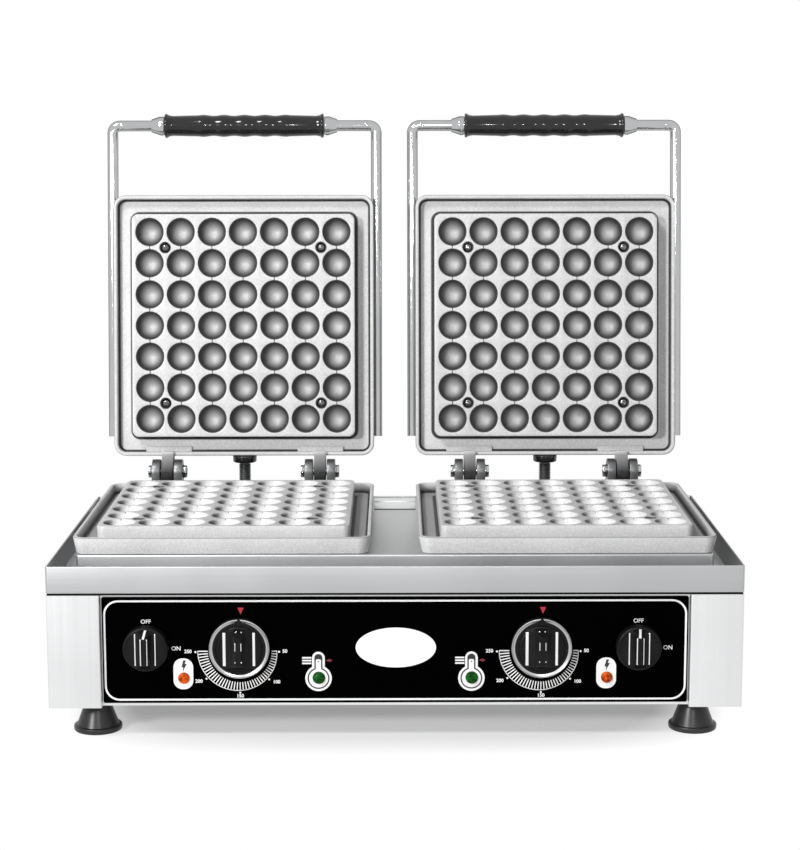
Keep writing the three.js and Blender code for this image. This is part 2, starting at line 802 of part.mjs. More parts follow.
function terminalBlock() {
  const half = terminalLength / 2;
  const block = box(-half, half, -terminalDepth / 2, terminalDepth / 2, 0, terminalHeight);
  const pitch = terminalLength / terminalPoles;
  const slots = [];
  for (let i = 1; i < terminalPoles; i += 1) {
    const x = i * pitch - half;
    slots.push(box(x - poleGap / 2, x + poleGap / 2, -terminalDepth, terminalDepth,
      terminalHeight / 2, terminalHeight + overrun));
  }
  return cut(block, gather(slots));
}

// Cable gland with its nut outside the rear panel and an open bore.
function cableGland() {
  const inner = -panelBack;
  const profile = [[glandBore, inner], [glandRadius, inner], [glandRadius, 0], [glandNutRadius, 0],
    [glandNutRadius, glandNutWidth], [glandRadius, glandNutWidth], [glandRadius, glandLength - sheet],
    [glandRadius - sheet, glandLength], [glandBore, glandLength], [glandBore, inner]];
  return turned(profile, midSides);
}

function named(name, geometry, finish) {
  const plain = geometryOf(solidOf(geometry));
  const material = new THREE.MeshStandardMaterial(finishes[finish]);
  const mesh = new THREE.Mesh(plain, material);
  mesh.name = name;
  return mesh;
}

function placed(mesh, x, y, z) {
  mesh.position.set(x, y, z);
  return mesh;
}

// A piece made face up on the Z axis and turned to face the front.
function facingFront(mesh, x, y, z) {
  mesh.rotation.x = Math.PI / 2;
  return placed(mesh, x, y, z);
}

function buildBody() {
  const body = new THREE.Group();
  body.add(named('base_plate', basePlate(), 'steel'));
  body.add(named('right_side_panel', sidePanel(), 'steel'));
  const left = named('left_side_panel', sidePanel().rotateZ(Math.PI), 'steel');
  body.add(placed(left, 0, bodyDepth, 0));
  body.add(named('front_panel', frontPanel(), 'steel'));
  body.add(named('rear_panel', rearPanel(), 'steel'));
  body.add(named('control_fascia', fascia(), 'fascia'));
  body.add(named('top_tray', topTray(), 'steel'));
  body.add(named('tray_seal', traySeal(), 'rubber'));
  for (const [side, x] of [['left', -footX], ['right', footX]]) {
    body.add(placed(named(`foot_front_${side}`, foot(), 'rubber'), x, footInset, 0));
    body.add(placed(named(`foot_rear_${side}`, foot(), 'rubber'), x, bodyDepth - footInset, 0));
  }
  body.add(placed(named('terminal_block', terminalBlock(), 'ceramic'), glandX / 2,
    bodyDepth - panelBack - sheet - terminalDepth, footHeight + sheet));
  const gland = named('cable_gland', cableGland(), 'knob');
  gland.rotation.x = -Math.PI / 2;
  body.add(placed(gland, glandX, bodyDepth - panelRecess, footHeight + glandHeight));
  return body;
}

function buildControls() {
  const controls = new THREE.Group();
  const knobZ = footHeight + knobHeight;
  const lampZ = footHeight + lampHeight;
  const face = fasciaFace - seat;
  const sides = [['left', leftSwitchX, leftThermostatX, -1], ['right', rightSwitchX, rightThermostatX, 1]];
  for (const [side, switchX, thermostatX, sign] of sides) {
    const switchBox = controlBody(switchBody, switchLength, switchPoles);
    controls.add(facingFront(named(`power_switch_${side}`, switchBox, 'ceramic'), switchX, panelBack, knobZ));
    const thermostatBox = controlBody(thermostatBody, thermostatLength, thermostatPoles);
    controls.add(facingFront(named(`thermostat_${side}`, thermostatBox, 'ceramic'), thermostatX, panelBack,
      knobZ));
    controls.add(facingFront(named(`switch_knob_${side}`, switchKnob(), 'knob'), switchX, face, knobZ));
    controls.add(facingFront(named(`thermostat_knob_${side}`, thermostatKnob(), 'knob'), thermostatX, face,
      knobZ));
    controls.add(facingFront(named(`power_lamp_${side}`, lamp(powerLampRadius), 'amber'),
      sign * powerLampX, fasciaFace, lampZ));
    controls.add(facingFront(named(`heat_lamp_${side}`, lamp(heatLampRadius), 'green'),
      sign * heatLampX, fasciaFace, lampZ));
  }
  return controls;
}

// The fixed half of a cooking unit, at its place on the deck.
function buildLowerUnit(side, x) {
  const unit = new THREE.Group();
  unit.position.set(x, panCentreY, deckTop);
  unit.add(named(`lower_pan_${side}`, lowerPan(), 'cast'));
  const plateFoot = channelFloor + seat;
  unit.add(placed(named(`lower_plate_${side}`, bubblePlate(), 'cast'), 0, 0, plateFoot));
  unit.add(placed(named(`lower_element_${side}`, heatingElement(), 'element'), 0, 0, plateFoot));
  const axisY = halfPan + hingeSetback;
  const axisZ = hingeZ - deckTop;
  for (const [hinge, sign] of [['outer', -1], ['inner', 1]]) {
    const hand = side === 'left' ? sign : -sign;
    const bracket = named(`hinge_bracket_${side}_${hinge}`, hingeBracket(), 'steel');
    unit.add(placed(bracket, hand * hingeOffset, axisY, axisZ));
    const bolt = named(`hinge_bolt_${side}_${hinge}`, hingeBolt(), 'chrome');
    unit.add(placed(bolt, hand * hingeOffset, axisY, axisZ));
  }
  const ledge = ledgeTop - deckTop;
  const stopTop = axisZ + heelHeight - seat - bufferHeight;
  const screwHeight = stopTop - ledge;
  const stopY = axisY + stopSetback;
  unit.add(placed(named(`stop_screw_${side}`, stopScrew(screwHeight), 'chrome'), 0, stopY, ledge));
  unit.add(placed(named(`stop_buffer_${side}`, stopBuffer(), 'rubber'), 0, stopY, stopTop));
  return unit;
}

// The moving half of a cooking unit, made closed about its hinge axis and swung open.
function buildLid(side, x) {
  const lid = new THREE.Group();
  lid.position.set(x, hingeY, hingeZ);
  lid.rotation.x = lidTurn;
  const centre = -hingeSetback - halfPan;
  const plateFoot = lidBack - channelFloor - seat;
  const faceDown = (mesh) => {
    mesh.rotation.y = Math.PI;
    return placed(mesh, 0, centre, plateFoot);
  };
  lid.add(named(`lid_pan_${side}`, lidPan(), 'cast'));
  lid.add(faceDown(named(`lid_plate_${side}`, bubblePlate(), 'cast')));
  lid.add(faceDown(named(`lid_element_${side}`, heatingElement(), 'element')));
  lid.add(named(`lid_cover_${side}`, lidCover(), 'steel'));
  lid.add(named(`handle_frame_${side}`, handleFrame(), 'chrome'));
  const far = -hingeSetback - panSize - handleReach;
  lid.add(placed(named(`handle_grip_${side}`, handleGrip(), 'knob'), 0, far, barDepth));
  lid.add(placed(named(`handle_collar_${side}_right`, handleCollar(), 'chrome'), 0, far, barDepth));
  const mirrored = named(`handle_collar_${side}_left`, handleCollar().rotateZ(Math.PI), 'chrome');
  lid.add(placed(mirrored, 0, far, barDepth));
  return lid;
}

// The whole machine, standing on z = 0, with the middle of its box at the origin.
function buildWaffleMaker() {
  const machine = new THREE.Group();
  machine.add(buildBody(), buildControls());
  for (const [side, sign] of [['left', -1], ['right', 1]]) {
    machine.add(buildLowerUnit(side, sign * unitSpacing / 2), buildLid(side, sign * unitSpacing / 2));
  }
  machine.updateMatrixWorld(true);
  const extent = new THREE.Box3().setFromObject(machine, true);
  machine.position.y = -(extent.min.y + extent.max.y) / 2;
  const root = new THREE.Group();
  root.add(machine);
  root.updateMatrixWorld(true);
  return root;
}

export default buildWaffleMaker();
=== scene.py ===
"""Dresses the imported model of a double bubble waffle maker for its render.

Pieces are modelled in millimetres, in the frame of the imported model, and end in metres.
"""

import json
import logging
import math
from collections.abc import Iterable, Mapping, Sequence
from dataclasses import dataclass
from enum import Enum
from functools import cached_property

import bmesh
import bpy
from mathutils import Matrix, Vector

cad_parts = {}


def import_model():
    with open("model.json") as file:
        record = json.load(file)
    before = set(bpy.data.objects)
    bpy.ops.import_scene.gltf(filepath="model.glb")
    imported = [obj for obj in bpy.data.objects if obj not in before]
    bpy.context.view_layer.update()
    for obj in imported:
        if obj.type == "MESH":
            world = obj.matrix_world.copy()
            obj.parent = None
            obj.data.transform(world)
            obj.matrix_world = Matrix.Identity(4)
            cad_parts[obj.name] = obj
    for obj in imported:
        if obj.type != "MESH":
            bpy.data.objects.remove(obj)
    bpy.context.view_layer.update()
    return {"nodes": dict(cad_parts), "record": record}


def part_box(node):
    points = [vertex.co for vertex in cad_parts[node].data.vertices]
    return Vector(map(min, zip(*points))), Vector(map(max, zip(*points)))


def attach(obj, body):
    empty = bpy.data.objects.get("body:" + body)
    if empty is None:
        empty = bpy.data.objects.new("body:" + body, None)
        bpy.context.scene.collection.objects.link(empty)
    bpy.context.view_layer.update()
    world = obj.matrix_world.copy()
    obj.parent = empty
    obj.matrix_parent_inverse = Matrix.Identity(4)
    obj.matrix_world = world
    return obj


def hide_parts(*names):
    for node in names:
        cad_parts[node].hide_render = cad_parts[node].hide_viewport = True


LOG = logging.getLogger("waffle_maker")
MM = 0.001
MERGE = 1e-4
CREASE = math.radians(35)
CAPITAL_SHARE = 0.73
PRINT_HALF = 0.07
IDENTITY = Matrix.Identity(4)
QUARTERS = ((-1, -1), (1, -1), (1, 1), (-1, 1))

Colour = tuple[float, float, float]
Pair = tuple[float, float]


def shift(x: float = 0.0, y: float = 0.0, z: float = 0.0) -> Matrix:
    """A move by the given amounts."""
    return Matrix.Translation((x, y, z))


def turn(degrees: float, axis: str) -> Matrix:
    """A turn about an axis through the origin."""
    return Matrix.Rotation(math.radians(degrees), 4, axis)


def arc(x: float, y: float, radius: float, start: float, end: float, steps: int) -> list[Pair]:
    """Points along an arc.

    Args:
        x: First coordinate of the centre.
        y: Second coordinate of the centre.
        radius: Radius of the arc.
        start: First angle, in degrees.
        end: Last angle, in degrees.
        steps: Number of even steps between them.

    Returns:
        The points, both ends included.
    """
    angles = [math.radians(start + (end - start) * i / steps) for i in range(steps + 1)]
    return [(x + radius * math.cos(a), y + radius * math.sin(a)) for a in angles]


class Socket:
    """An output of a shader node that takes part in sums and products."""

    def __init__(self, bench: "Bench", output: bpy.types.NodeSocket) -> None:
        """Keeps the output and the bench that it stands on."""
        self.bench = bench
        self.output = output

    def __add__(self, other: "Number") -> "Socket":
        """This value plus another."""
        return self.bench.maths("ADD", self, other)

    def __sub__(self, other: "Number") -> "Socket":
        """This value less another."""
        return self.bench.maths("SUBTRACT", self, other)

    def __rsub__(self, other: "Number") -> "Socket":
        """Another value less this one."""
        return self.bench.maths("SUBTRACT", other, self)

    def __mul__(self, other: "Number") -> "Socket":
        """This value times another."""
        return self.bench.maths("MULTIPLY", self, other)

    def __gt__(self, other: "Number") -> "Socket":
        """One where this value is the greater."""
        return self.bench.maths("GREATER_THAN", self, other)

    def __pow__(self, other: "Number") -> "Socket":
        """This value raised to a power."""
        return self.bench.maths("POWER", self, other)

    __radd__ = __add__
    __rmul__ = __mul__


Number = Socket | float


class Bench:
    """The node tree of a material or of the world, and the calls that fill it."""

    def __init__(
        self, owner: bpy.types.Material | bpy.types.World, shader: str = "Principled BSDF"
    ) -> None:
        """Takes up the nodes of an owner and its main shader."""
        owner.use_nodes = True
        self.tree = owner.node_tree
        self.shader = self.tree.nodes[shader]

    def node(
        self,
        kind: str,
        output: int | str = 0,
        settings: Mapping[str, object] | None = None,
        inputs: Mapping[int | str, object] | None = None,
    ) -> Socket:
        """Adds a node.

        Args:
            kind: Type of the node.
            output: The output that is handed back.
            settings: Properties that are set first.
            inputs: Values or links of its sockets.

        Returns:
            The chosen output.
        """
        made = self.tree.nodes.new(kind)
        for name, value in (settings or {}).items():
            setattr(made, name, value)
        for name, value in (inputs or {}).items():
            self.feed(made.inputs[name], value)
        return Socket(self, made.outputs[output])

    def feed(self, socket: bpy.types.NodeSocket, value: object) -> None:
        """Links a socket to another or gives it a value."""
        if isinstance(value, Socket):
            self.tree.links.new(value.output, socket)
        else:
            socket.default_value = value

    def shade(self, **values: object) -> None:
        """Feeds sockets of the shader, named with underscores for spaces."""
        for name, value in values.items():
            self.feed(self.shader.inputs[name.replace("_", " ")], value)

    def maths(self, operation: str, first: Number, second: Number) -> Socket:
        """The result of a Math node."""
        return self.node("ShaderNodeMath", 0, {"operation": operation}, {0: first, 1: second})

    @cached_property
    def spot(self) -> Socket:
        """The place on the object."""
        return self.node("ShaderNodeTexCoord", "Object")

    def stretched(self, scale: Sequence[float]) -> Socket:
        """The place on the object, drawn out along its axes."""
        return self.node("ShaderNodeMapping", 0, {}, {"Vector": self.spot, "Scale": scale})

    def noise(self, scale: float, detail: float = 3.0, spot: Socket | None = None) -> Socket:
        """Cloudy noise with so many waves to a metre."""
        inputs = {"Vector": spot or self.spot, "Scale": scale, "Detail": detail}
        return self.node("ShaderNodeTexNoise", 0, {}, inputs)

    def cells(self, scale: float) -> Socket:
        """Distance from the middle of round cells, so many to a metre."""
        return self.node("ShaderNodeTexVoronoi", 0, {}, {"Vector": self.spot, "Scale": scale})

    def spread(self, value: Socket, low: float, high: float) -> Socket:
        """Stretches the part of a value between two bounds to the range from 0 to 1."""
        inputs = {"Value": value, "From Min": low, "From Max": high}
        return self.node("ShaderNodeMapRange", 0, {"clamp": True}, inputs)

    def mixed(self, first: Colour | Socket, second: Colour, share: Socket) -> Socket:
        """A colour between two."""
        start = first if isinstance(first, Socket) else (*first, 1)
        inputs = {0: share, 6: start, 7: (*second, 1)}
        return self.node("ShaderNodeMix", 2, {"data_type": "RGBA"}, inputs)

    def seen(self) -> Socket:
        """One for what the camera, a mirror or glass sees, zero for what only lights."""
        camera, mirror, glass = (
            self.node("ShaderNodeLightPath", f"Is {ray} Ray")
            for ray in ("Camera", "Glossy", "Transmission")
        )
        return camera + mirror + glass

    def bump(self, height: Socket, strength: float, distance: float) -> None:
        """Raises the surface by a height pattern, up to so many millimetres."""
        inputs = {"Height": height, "Strength": strength, "Distance": distance * MM}
        self.shade(Normal=self.node("ShaderNodeBump", 0, {}, inputs))


def tinted(colour: Colour, factor: float) -> Colour:
    """A colour made lighter or darker."""
    return tuple(min(1.0, part * factor) for part in colour)


class Grain(Enum):
    """The way that brush lines run, as scales of the three axes."""

    ALONG_X = (5.0, 1900.0, 1900.0)
    ALONG_Z = (1900.0, 1900.0, 5.0)


@dataclass(frozen=True)
class Finish:
    """What every finish has."""

    name: str
    colour: Colour
    roughness: float
    metallic: float = 0.0
    specular: float = 0.5

    def material(self) -> bpy.types.Material:
        """Makes the material once and hands the same one out again."""
        label = f"{self.name}_finish"
        if label not in bpy.data.materials:
            bench = Bench(bpy.data.materials.new(label))
            bench.shade(Metallic=self.metallic, Specular_IOR_Level=self.specular)
            self.dress(bench)
        return bpy.data.materials[label]

    def dress(self, bench: Bench) -> None:
        """Adds the nodes of this kind of finish."""
        raise NotImplementedError


@dataclass(frozen=True)
class BrushedSteel(Finish):
    """Sheet steel with fine brush lines and soft smudges."""

    grain: Grain = Grain.ALONG_X
    lines: float = 1.0

    def dress(self, bench: Bench) -> None:
        """Lines in roughness and height, smudges in tone."""
        lines = bench.noise(1.0, 3.0, bench.stretched(self.grain.value))
        smudges = bench.noise(11.0, 4.0)
        tone = bench.spread(lines * 0.5 + smudges * 0.5, 0.3, 0.7)
        bench.shade(
            Base_Color=bench.mixed(tinted(self.colour, 0.94), tinted(self.colour, 1.05), tone),
            Roughness=lines * 0.16 + smudges * 0.1 + (self.roughness - 0.13),
        )
        bench.bump(lines, 0.25 * self.lines, 0.02)


@dataclass(frozen=True)
class SandCast(Finish):
    """Coated casting with the fine grain of its sand mould, darkened by painted shade where its mesh
    marks it.
    """

    grain: float = 900.0
    depth: float = 0.12
    # Strength of the painted shade that the mesh marks.
    painted_shade_strength: float = 1.0

    def dress(self, bench: Bench) -> None:
        """Grain and pits in height, tone and roughness; painted shade darkens what the wall attribute
        marks.
        """
        grain = bench.noise(self.grain, 3.0)
        pits = bench.cells(self.grain * 0.8)
        clouds = bench.noise(26.0, 3.0)
        tone = bench.spread(grain * 0.6 + pits * 0.25 + clouds * 0.3, 0.32, 0.82)
        clean = bench.mixed(tinted(self.colour, 0.76), tinted(self.colour, 1.18), tone)
        # Painted shade: the wall attribute darkens cavity walls, grooves, recesses, the rim's foot and
        # the gap round the plate, where shade falls.
        wall = bench.node("ShaderNodeAttribute", "Fac", {"attribute_name": "wall"})
        painted_shade = wall * self.painted_shade_strength * (tone * 0.16 + 0.92)
        bench.shade(
            Base_Color=bench.mixed(clean, tinted(self.colour, 0.03), painted_shade),
            Roughness=bench.spread(grain, 0.2, 0.8) * 0.16 + (self.roughness - 0.08),
        )
        bench.bump(grain * 0.7 + pits * 0.5, 0.55, self.depth)


@dataclass(frozen=True)
class Plated(Finish):
    """Bright plating with faint wipe marks."""

    rim: float = 1.0

    def dress(self, bench: Bench) -> None:
        """Marks in roughness and tone, and the metal's own tint at grazing angles."""
        marks = bench.noise(160.0, 4.0)
        clouds = bench.noise(35.0, 2.0)
        tone = bench.spread(clouds, 0.3, 0.7)
        bench.shade(
            Base_Color=bench.mixed(tinted(self.colour, 0.93), self.colour, tone),
            Roughness=bench.spread(marks, 0.35, 0.75) * 0.05 + self.roughness,
            Specular_Tint=(self.rim, self.rim, self.rim, 1),
        )
        bench.bump(marks, 0.1, 0.02)


@dataclass(frozen=True)
class Moulded(Finish):
    """Plastic or rubber with a fine moulded skin."""

    grain: float = 1500.0
    relief: float = 0.05
    worn: float = 1.6

    def dress(self, bench: Bench) -> None:
        """Skin in height and roughness, paler where it has been handled."""
        skin = bench.noise(self.grain, 2.0)
        handled = bench.spread(bench.noise(45.0, 4.0), 0.45, 0.8)
        bench.shade(
            Base_Color=bench.mixed(self.colour, tinted(self.colour, self.worn), handled),
            Roughness=skin * 0.1 + handled * 0.06 + (self.roughness - 0.08),
        )
        bench.bump(skin, 0.4, self.relief)


@dataclass(frozen=True)
class GlossFilm(Finish):
    """Glossy printed film with a faint orange peel and specks of dust."""

    def dress(self, bench: Bench) -> None:
        """Peel in height, dust in tone and roughness."""
        peel = bench.noise(260.0, 2.0)
        dust = bench.noise(1700.0, 1.0) > 0.78
        wiped = bench.noise(18.0, 3.0)
        bench.shade(
            Base_Color=bench.mixed(self.colour, tinted(self.colour, 3.0), dust),
            Roughness=wiped * 0.07 + dust * 0.2 + (self.roughness - 0.03),
        )
        bench.bump(peel, 0.08, 0.02)


@dataclass(frozen=True)
class Lens(Finish):
    """Clear coloured lens with moulded prisms and a little light of its own."""

    glow: float = 0.25

    def dress(self, bench: Bench) -> None:
        """Prisms in height and tone."""
        prisms = bench.cells(300.0)
        clouds = bench.noise(240.0, 2.0)
        tone = bench.spread(prisms * 0.7 + clouds * 0.4, 0.3, 0.75)
        shade = bench.mixed(tinted(self.colour, 0.25), tinted(self.colour, 1.6), tone)
        bench.shade(
            Base_Color=shade,
            Emission_Color=shade,
            Emission_Strength=self.glow,
            Roughness=tone * 0.1 + self.roughness,
            Coat_Weight=0.06,
        )
        bench.bump(prisms, 0.5, 0.35)


@dataclass(frozen=True)
class Ink(Finish):
    """Screen print, thin in places."""

    def dress(self, bench: Bench) -> None:
        """Small variations in cover."""
        cover = bench.spread(bench.noise(900.0, 3.0), 0.3, 0.7)
        bench.shade(
            Base_Color=bench.mixed(tinted(self.colour, 0.92), self.colour, cover),
            Roughness=cover * 0.08 + self.roughness,
        )
        bench.bump(cover, 0.1, 0.01)


@dataclass(frozen=True)
class Backdrop(Finish):
    """Pale studio floor."""

    def dress(self, bench: Bench) -> None:
        """A barely uneven tone."""
        cloud = bench.spread(bench.noise(2.0, 2.0), 0.3, 0.7)
        bench.shade(
            Base_Color=bench.mixed(tinted(self.colour, 0.99), self.colour, cloud),
            Roughness=cloud * 0.05 + self.roughness,
        )


# Lit and shaded copies of one stainless steel: their colours differ to paint how light falls on upright
# and across-brushed faces.
STAINLESS_X_SHADED = BrushedSteel("stainless_across_shaded", (0.46, 0.465, 0.47), 0.36, 1.0, 0.5, Grain.ALONG_X)
STAINLESS_Z_LIT = BrushedSteel("stainless_upright_lit", (0.76, 0.765, 0.77), 0.36, 1.0, 0.5, Grain.ALONG_Z)
COVER_STEEL = BrushedSteel("cover_steel", (0.55, 0.555, 0.56), 0.36, 1.0, 0.5, Grain.ALONG_X)
HINGE_STEEL = BrushedSteel("hinge_steel", (0.15, 0.152, 0.155), 0.4, 1.0, 0.5, Grain.ALONG_Z)
CAST = SandCast("cast_coat", (0.69, 0.69, 0.69), 0.5, 0.0, 0.12, 900.0, 0.12, 0.95)
# Lit and shaded copies of one plate coating: the lid and lower plates differ in colour to paint how
# light falls on each.
PLATE_COAT = SandCast("plate_coat", (0.67, 0.67, 0.67), 0.38, 0.0, 0.5)
LOWER_COAT = SandCast("lower_coat", (0.77, 0.77, 0.77), 0.34, 0.0, 0.5, 900.0, 0.12, 1.0)
CHROME = Plated("chrome", (0.5, 0.505, 0.51), 0.06, 1.0, 0.5, 0.0)
SCREW_STEEL = Plated("screw_steel", (0.16, 0.16, 0.16), 0.2, 1.0)
FASCIA = GlossFilm("black_film", (0.0003, 0.0003, 0.0003), 0.2, 0.0, 0.005)
KNOB = Moulded("knob_black", (0.006, 0.006, 0.006), 0.34, 0.0, 0.12)
GRIP = Moulded("grip_black", (0.003, 0.003, 0.003), 0.15, 0.0, 0.5, 900.0, 0.02)
RUBBER = Moulded("foot_rubber", (0.014, 0.014, 0.014), 0.36, 0.0, 0.4, 1100.0, 0.06, 1.8)
SEAL = Moulded("seal_rubber", (0.006, 0.006, 0.006), 0.6, 0.0, 0.1)
NYLON = Moulded("black_nylon", (0.012, 0.012, 0.012), 0.45, 0.0, 0.3)
CERAMIC = Moulded("insulating_body", (0.62, 0.58, 0.5), 0.6, 0.0, 0.4, 500.0, 0.1, 1.1)
ELEMENT = BrushedSteel("element_steel", (0.22, 0.2, 0.18), 0.5, 1.0, 0.5, Grain.ALONG_X)
AMBER = Lens("amber_lens", (0.42, 0.06, 0.0), 0.12, 0.0, 0.12, 0.1)
GREEN = Lens("green_lens", (0.0, 0.06, 0.002), 0.12, 0.0, 0.12, 0.1)
WHITE_INK = Ink("white_print", (0.9, 0.9, 0.9), 0.35)
ENAMEL = Ink("white_enamel", (0.95, 0.95, 0.95), 0.3)
# Painted highlight: the bright finish of strips set where lamps glint on the knob grips.
PAINTED_HIGHLIGHT = Plated("painted_highlight", (0.95, 0.95, 0.95), 0.2, 1.0)
SATIN_RING = Plated("satin_ring", (0.5, 0.5, 0.5), 0.24, 1.0)
RED_INK = Ink("red_print", (0.42, 0.012, 0.035), 0.35)
DARK_RED_INK = Ink("dark_red_print", (0.2, 0.01, 0.03), 0.35)
BLACK_INK = Ink("black_print", (0.01, 0.01, 0.01), 0.35)
FLOOR = Backdrop("studio_floor", (0.9, 0.9, 0.9), 0.7)


@dataclass(frozen=True)
class Ring:
    """A level rectangle with rounded corners."""

    half_x: float
    half_y: float
    corner: float
    z: float
    x: float = 0.0
    y: float = 0.0

    def grown(self, by: float, z: float) -> "Ring":
        """The ring drawn outwards by an amount, at another height."""
        corner = max(0.02, self.corner + by)
        return Ring(self.half_x + by, self.half_y + by, corner, z, self.x, self.y)

    def outside(self, spot: Vector) -> float:
        """How far a place lies outside the ring, less than zero within it."""
        x = abs(spot.x) - self.half_x + self.corner
        y = abs(spot.y) - self.half_y + self.corner
        return math.hypot(max(x, 0), max(y, 0)) + min(max(x, y), 0) - self.corner

    def spread(self, profile: Iterable[Pair]) -> list["Ring"]:
        """Rings for a profile of (outward, height) pairs."""
        return [self.grown(by, z) for by, z in profile]

    def carry(self, verts: Iterable[bmesh.types.BMVert], other: "Ring") -> None:
        """Moves vertices that lie on this ring to the same places on another."""
        for vert in verts:
            x, y = vert.co.x - self.x, vert.co.y - self.y
            side_x, side_y = math.copysign(1, x), math.copysign(1, y)
            lean_x = (x - side_x * (self.half_x - self.corner)) / self.corner
            lean_y = (y - side_y * (self.half_y - self.corner)) / self.corner
            vert.co = Vector((
                other.x + side_x * (other.half_x - other.corner) + other.corner * lean_x,
                other.y + side_y * (other.half_y - other.corner) + other.corner * lean_y,
                other.z,
            ))


class Shape:
    """A mesh in millimetres that collects closed parts shaped by bmesh operators."""

    def __init__(self) -> None:
        """Starts empty."""
        self.mesh = bmesh.new()

    def take(self, part: bmesh.types.BMesh, place: Matrix = IDENTITY) -> "Shape":
        """Adds a part at its place.

        Args:
            part: The part, which is used up.
            place: Where it goes.

        Returns:
            This shape.
        """
        bmesh.ops.transform(part, matrix=place, verts=part.verts)
        bmesh.ops.remove_doubles(part, verts=part.verts, dist=MERGE)
        bmesh.ops.recalc_face_normals(part, faces=part.faces)
        carrier = bpy.data.meshes.new("carrier")
        part.to_mesh(carrier)
        part.free()
        self.mesh.from_mesh(carrier)
        bpy.data.meshes.remove(carrier)
        return self

    def turned(self, profile: Sequence[Pair], place: Matrix = IDENTITY, sides: int = 48) -> "Shape":
        """Adds a part turned about the Z axis.

        Args:
            profile: (radius, height) pairs; it closes on the axis or on itself.
            place: Where the part goes.
            sides: Number of steps of the full turn.

        Returns:
            This shape.
        """
        return self.take(spun(profile, sides), place)

    def stack(
        self,
        rings: Sequence[Ring],
        place: Matrix = IDENTITY,
        steps: int = 6,
        looped: bool = False,
    ) -> "Shape":
        """Adds a part that follows rounded rectangles.

        Args:
            rings: The rings, in order.
            place: Where the part goes.
            steps: Number of steps round a corner.
            looped: Whether the last ring joins the first instead of closing with faces.

        Returns:
            This shape.
        """
        part = bmesh.new()
        unit = Ring(2, 2, 1, 0)
        corners = [part.verts.new((2 * x, 2 * y, 0)) for x, y in QUARTERS]
        part.faces.new(corners)
        rounded(part, corners, 1, steps, "VERTICES")
        unit.carry(part.verts, rings[0])
        loop, cap = list(part.edges), list(part.faces)
        if looped:
            rings = [*rings, rings[0]]
        for old, new in zip(rings, rings[1:]):
            loop, verts = extruded(part, loop)
            old.carry(verts, new)
        if looped:
            bmesh.ops.delete(part, geom=cap, context="FACES_ONLY")
        else:
            bmesh.ops.contextual_create(part, geom=loop)
        return self.take(part, place)

    def block(
        self,
        low: Sequence[float],
        high: Sequence[float],
        edge: float = 0.0,
        place: Matrix = IDENTITY,
    ) -> "Shape":
        """Adds a block between two corners, its edges rounded.

        Args:
            low: The lowest corner.
            high: The highest corner.
            edge: Radius of the edges.
            place: Where the block goes.

        Returns:
            This shape.
        """
        part = bmesh.new()
        bmesh.ops.create_cube(part, size=1)
        low, high = Vector(low), Vector(high)
        bmesh.ops.scale(part, vec=high - low, verts=part.verts)
        bmesh.ops.translate(part, vec=(low + high) / 2, verts=part.verts)
        if edge:
            rounded(part, part.edges, edge, 3)
        return self.take(part, place)

    def slab(
        self, outline: Sequence[Pair], thickness: float, place: Matrix = IDENTITY
    ) -> "Shape":
        """Adds a flat plate with a given outline, its underside at z = 0.

        Args:
            outline: The (x, y) points round it.
            thickness: Its height.
            place: Where it goes.

        Returns:
            This shape.
        """
        part = bmesh.new()
        part.faces.new([part.verts.new((x, y, 0)) for x, y in outline])
        thicken(part, (0, 0, thickness))
        return self.take(part, place)

    def cheek(
        self, outline: Sequence[Pair], width: float, soft: float, place: Matrix = IDENTITY
    ) -> "Shape":
        """Adds a plate that stands on edge across X, its rims rounded.

        Args:
            outline: The (y, z) points round it.
            width: Its width along X.
            soft: Radius of the rims.
            place: Where its middle goes.

        Returns:
            This shape.
        """
        part = bmesh.new()
        part.faces.new([part.verts.new((-width / 2, y, z)) for y, z in outline])
        thicken(part, (width, 0, 0))
        rims = [e for e in part.edges if abs(e.verts[0].co.x - e.verts[1].co.x) < MERGE]
        rounded(part, rims, soft, 2)
        return self.take(part, place)

    def lettering(self, words: str, height: float, place: Matrix, weight: float = 0.0) -> "Shape":
        """Adds raised letters or numbers, centred.

        Args:
            words: What is written.
            height: Height of a capital.
            place: Where the middle goes.
            weight: How much the strokes are thickened.

        Returns:
            This shape.
        """
        curve = bpy.data.curves.new("lettering", "FONT")
        curve.body = words
        curve.size = height / CAPITAL_SHARE
        curve.offset = weight
        curve.extrude = PRINT_HALF
        curve.resolution_u = 3
        curve.align_x, curve.align_y = "CENTER", "CENTER"
        carrier = bpy.data.objects.new("lettering", curve)
        mesh = bpy.data.meshes.new_from_object(carrier)
        part = bmesh.new()
        part.from_mesh(mesh)
        bpy.data.objects.remove(carrier)
        bpy.data.curves.remove(curve)
        bpy.data.meshes.remove(mesh)
        return self.take(part, place)

    def hexagon(self, across: float, low: float, high: float, place: Matrix = IDENTITY) -> "Shape":
        """Adds a nut or bolt head on the Z axis, chamfered."""
        part = bmesh.new()
        bmesh.ops.create_circle(part, cap_ends=True, segments=6, radius=across / math.sqrt(3))
        bmesh.ops.translate(part, vec=(0, 0, low), verts=part.verts)
        thicken(part, (0, 0, high - low))
        rounded(part, part.edges, min(0.4, (high - low) / 6), 2)
        return self.take(part, place)

